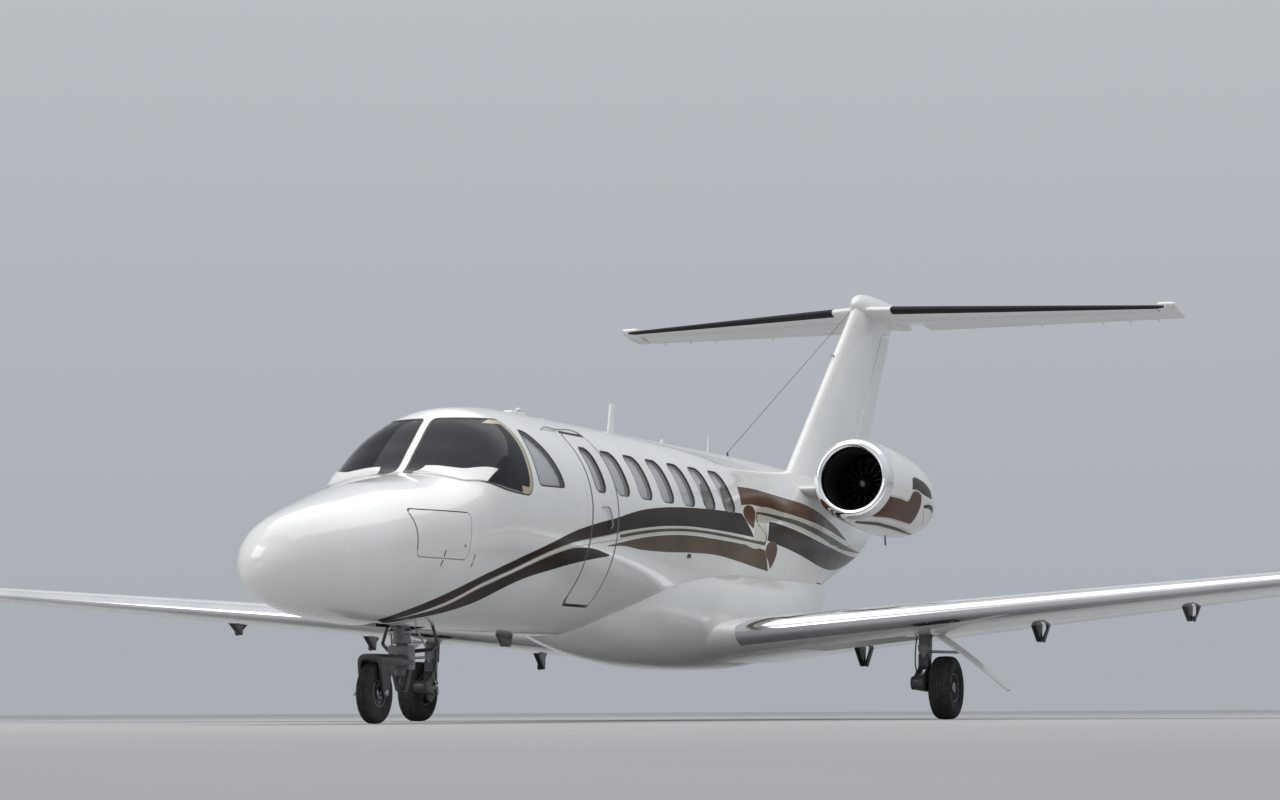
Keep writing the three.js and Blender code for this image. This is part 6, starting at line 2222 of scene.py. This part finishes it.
def make_latches():
    for i, (body, start, end) in enumerate(NOSE_LATCHES):
        rows = []
        for t in np.linspace(0, 1, 5):
            station = start[0] + t * (end[0] - start[0])
            angle = start[1] + t * (end[1] - start[1])
            rows.append((station - LATCH_WIDTH / 2, angle, station + LATCH_WIDTH / 2, angle))
        left = decal(rows, DARK_STEEL, 0.0012, 4)
        for name, piece in (("left", left), ("right", mirrored(left, "latch"))):
            piece.name = f"nose_latch_{i + 1}_{name}"
            rides = f"nose_baggage_door_{name}_body" if body == "door" else body
            shade_by(piece, hull_normals)
            place(piece, rides, "dark_metal")


# Name, half thickness, paint and outline as (station, z)
BLADE_AERIALS = [
    ("comm", 0.010, WHITE, [(6.400, 2.495), (6.540, 2.495), (6.530, 2.780), (6.460, 2.780)]),
    ("small", 0.007, WHITE, [(7.650, 2.495), (7.760, 2.495), (7.730, 2.556), (7.690, 2.556)]),
    ("belly", 0.008, DARK_GEAR, [(4.000, 0.725), (4.350, 0.720), (4.300, 0.610), (4.120, 0.610)]),
]


def make_blade_aerials():
    """Flat blades that stand on the centre line."""
    for name, half, material, outline in BLADE_AERIALS:
        points = [(at(station), z) for station, z in outline]
        blade = plate(f"{name}_blade_aerial", "yz", points, -half, half, material)
        blade = bevelled(blade, half * 0.8, 3)
        place(blade, AIRFRAME, "white_paint")


def make_beacon():
    bases = (("beacon_base", 4.240, 4.545, 2.541), ("aerial_base", 4.870, 4.965, 2.522))
    for name, start, end, high in bases:
        hump = bevel_box(name, -0.045, 0.045, at(start), at(end), 2.470, high, 0.018, WHITE)
        place(hump, AIRFRAME, "white_paint")
    lamp = turned("beacon_lamp", [
        (0.030, 0.0), (0.030, 0.014), (0.024, 0.028), (0.012, 0.036), (0.0005, 0.038),
    ], (0, at(4.460), 2.5405), (0, 0, 1), 32, CLEAR_LENS)
    place(soften(lamp), AIRFRAME, "glass")


def make_aerials():
    make_blade_aerials()
    make_beacon()
    foot = (0, at(8.883), 2.495)
    whip = rod("whip_aerial", foot, (0, at(8.905), 2.676), 0.007, WHITE, sides=12, end_radius=0.004)
    place(soften(whip), AIRFRAME, "white_paint")
    mast = rod("mast", (0, at(9.440), 2.490), (0, at(9.425), 2.560), 0.009, DARK_STEEL, sides=12)
    wire = rod("wire", (0, at(9.425), 2.555), (0, at(13.380), 4.400), 0.003, DARK_STEEL, sides=8)
    place(soften(join("wire_aerial", [mast, wire])), AIRFRAME, "dark_metal")


def make_small_fittings():
    tip = (0, at(12.554), 3.806)
    probe = rod("fin_probe", tip, (0, at(12.760), 3.806), 0.008, STEEL, sides=16, end_radius=0.012)
    place(soften(probe), AIRFRAME, "dark_metal")
    fitting = bevel_box("rudder_fitting", -0.058, 0.058, at(13.860), at(14.010), 3.946, 3.970, 0.006, WHITE)
    place(fitting, AIRFRAME, "white_paint")
    vane = bevel_box("side_vane", 0.760, 0.792, at(6.300), at(6.374), 1.400, 1.436, 0.006, DARK_STEEL)
    both_sides(vane, "side_vane", AIRFRAME, "dark_metal")
    port = turned("static_port", [
        (0.0005, 0.0), (0.012, 0.0), (0.012, 0.0042), (0.009, 0.005), (0.0005, 0.0035),
    ], (0.690, at(1.946), 1.315), (1, 0, 0), 24, STEEL)
    both_sides(soften(port), "static_port", AIRFRAME, "dark_metal")
    drain = rod("drain", (1.100, at(10.920), 1.800), (1.100, at(10.940), 1.705), 0.008, DARK_STEEL, sides=16)
    both_sides(soften(drain), "drain_mast", AIRFRAME, "dark_metal")


TIP_LIGHT = (8.062, 7.520, 1.353)


def make_tip_lights():
    x, station, z = TIP_LIGHT
    profile = [(0.0005, 0.0), (0.011, 0.006), (0.017, 0.022), (0.015, 0.045), (0.0005, 0.070)]
    for side, name, lens in ((1, "left", RED_LENS), (-1, "right", GREEN_LENS)):
        lamp = turned(f"tip_light_{name}", profile, (side * x, at(station), z), (0, 1, 0), 24, lens)
        place(soften(lamp, 40), AIRFRAME, "glass")


def dress_cad_nodes():
    """A better material on the one solid of the model that still shows."""
    for slot in bpy.data.objects["cabin_floor"].material_slots:
        slot.material = CARPET


# Floor and light
SKY = [(0.02, (0.40, 0.425, 0.46, 1)), (0.75, (0.74, 0.76, 0.79, 1))]


def make_stage():
    floor = new_piece("floor", [(-90, -90, 0), (90, -90, 0), (90, 120, 0), (-90, 120, 0)], [(0, 1, 2, 3)])
    look = Look("floor_paint", roughness=0.7)
    look.color(look.noise(0.35, 4.0), [(0.3, (0.40, 0.40, 0.40)), (0.7, (0.43, 0.43, 0.43))])
    floor.data.materials.append(look.material)


def area_light(name, spot, target, size, power, color=(1, 1, 1)):
    data = bpy.data.lights.new(name, "AREA")
    data.shape = "RECTANGLE"
    data.size = size[0]
    data.size_y = size[1]
    data.energy = power
    data.color = color
    lamp = bpy.data.objects.new(name, data)
    way = Vector(target) - Vector(spot)
    lamp.rotation_euler = way.to_track_quat("-Z", "Y").to_euler()
    lamp.location = spot
    bpy.context.scene.collection.objects.link(lamp)


def make_light():
    """A soft grey room that is brighter overhead, with two large lamps."""
    world = bpy.data.worlds.new("studio")
    bpy.context.scene.world = world
    world.use_nodes = True
    nodes = world.node_tree.nodes
    links = world.node_tree.links
    split = nodes.new("ShaderNodeSeparateXYZ")
    links.new(nodes.new("ShaderNodeTexCoord").outputs["Generated"], split.inputs["Vector"])
    ramp = nodes.new("ShaderNodeValToRGB")
    for element, (position, color) in zip(ramp.color_ramp.elements, SKY):
        element.position = position
        element.color = color
    links.new(split.outputs["Z"], ramp.inputs["Fac"])
    links.new(ramp.outputs["Color"], nodes["Background"].inputs["Color"])
    area_light("key", (-12, -18, 15), (0, 0, 1.5), (14, 14), 1500, (1.0, 0.98, 0.95))
    area_light("top", (0, 2, 18), (0, 0, 1.5), (22, 22), 1500)
    bpy.context.scene.view_settings.view_transform = "Standard"


make_nose()
make_cockpit()
make_cabin()
make_cabin_door()
make_wings()
make_wing_surfaces()
make_belly_fairing()
for engine_side, engine_name in SIDES:
    make_engine(engine_side, engine_name)
make_tail_fuselage()
make_fin()
make_stabilizer()
make_nose_gear()
make_nose_beam()
make_main_gear()
make_interior()
paint_livery()
paint_nacelles()
make_latches()
make_aerials()
make_small_fittings()
make_tip_lights()
dress_cad_nodes()
make_stage()
make_light()
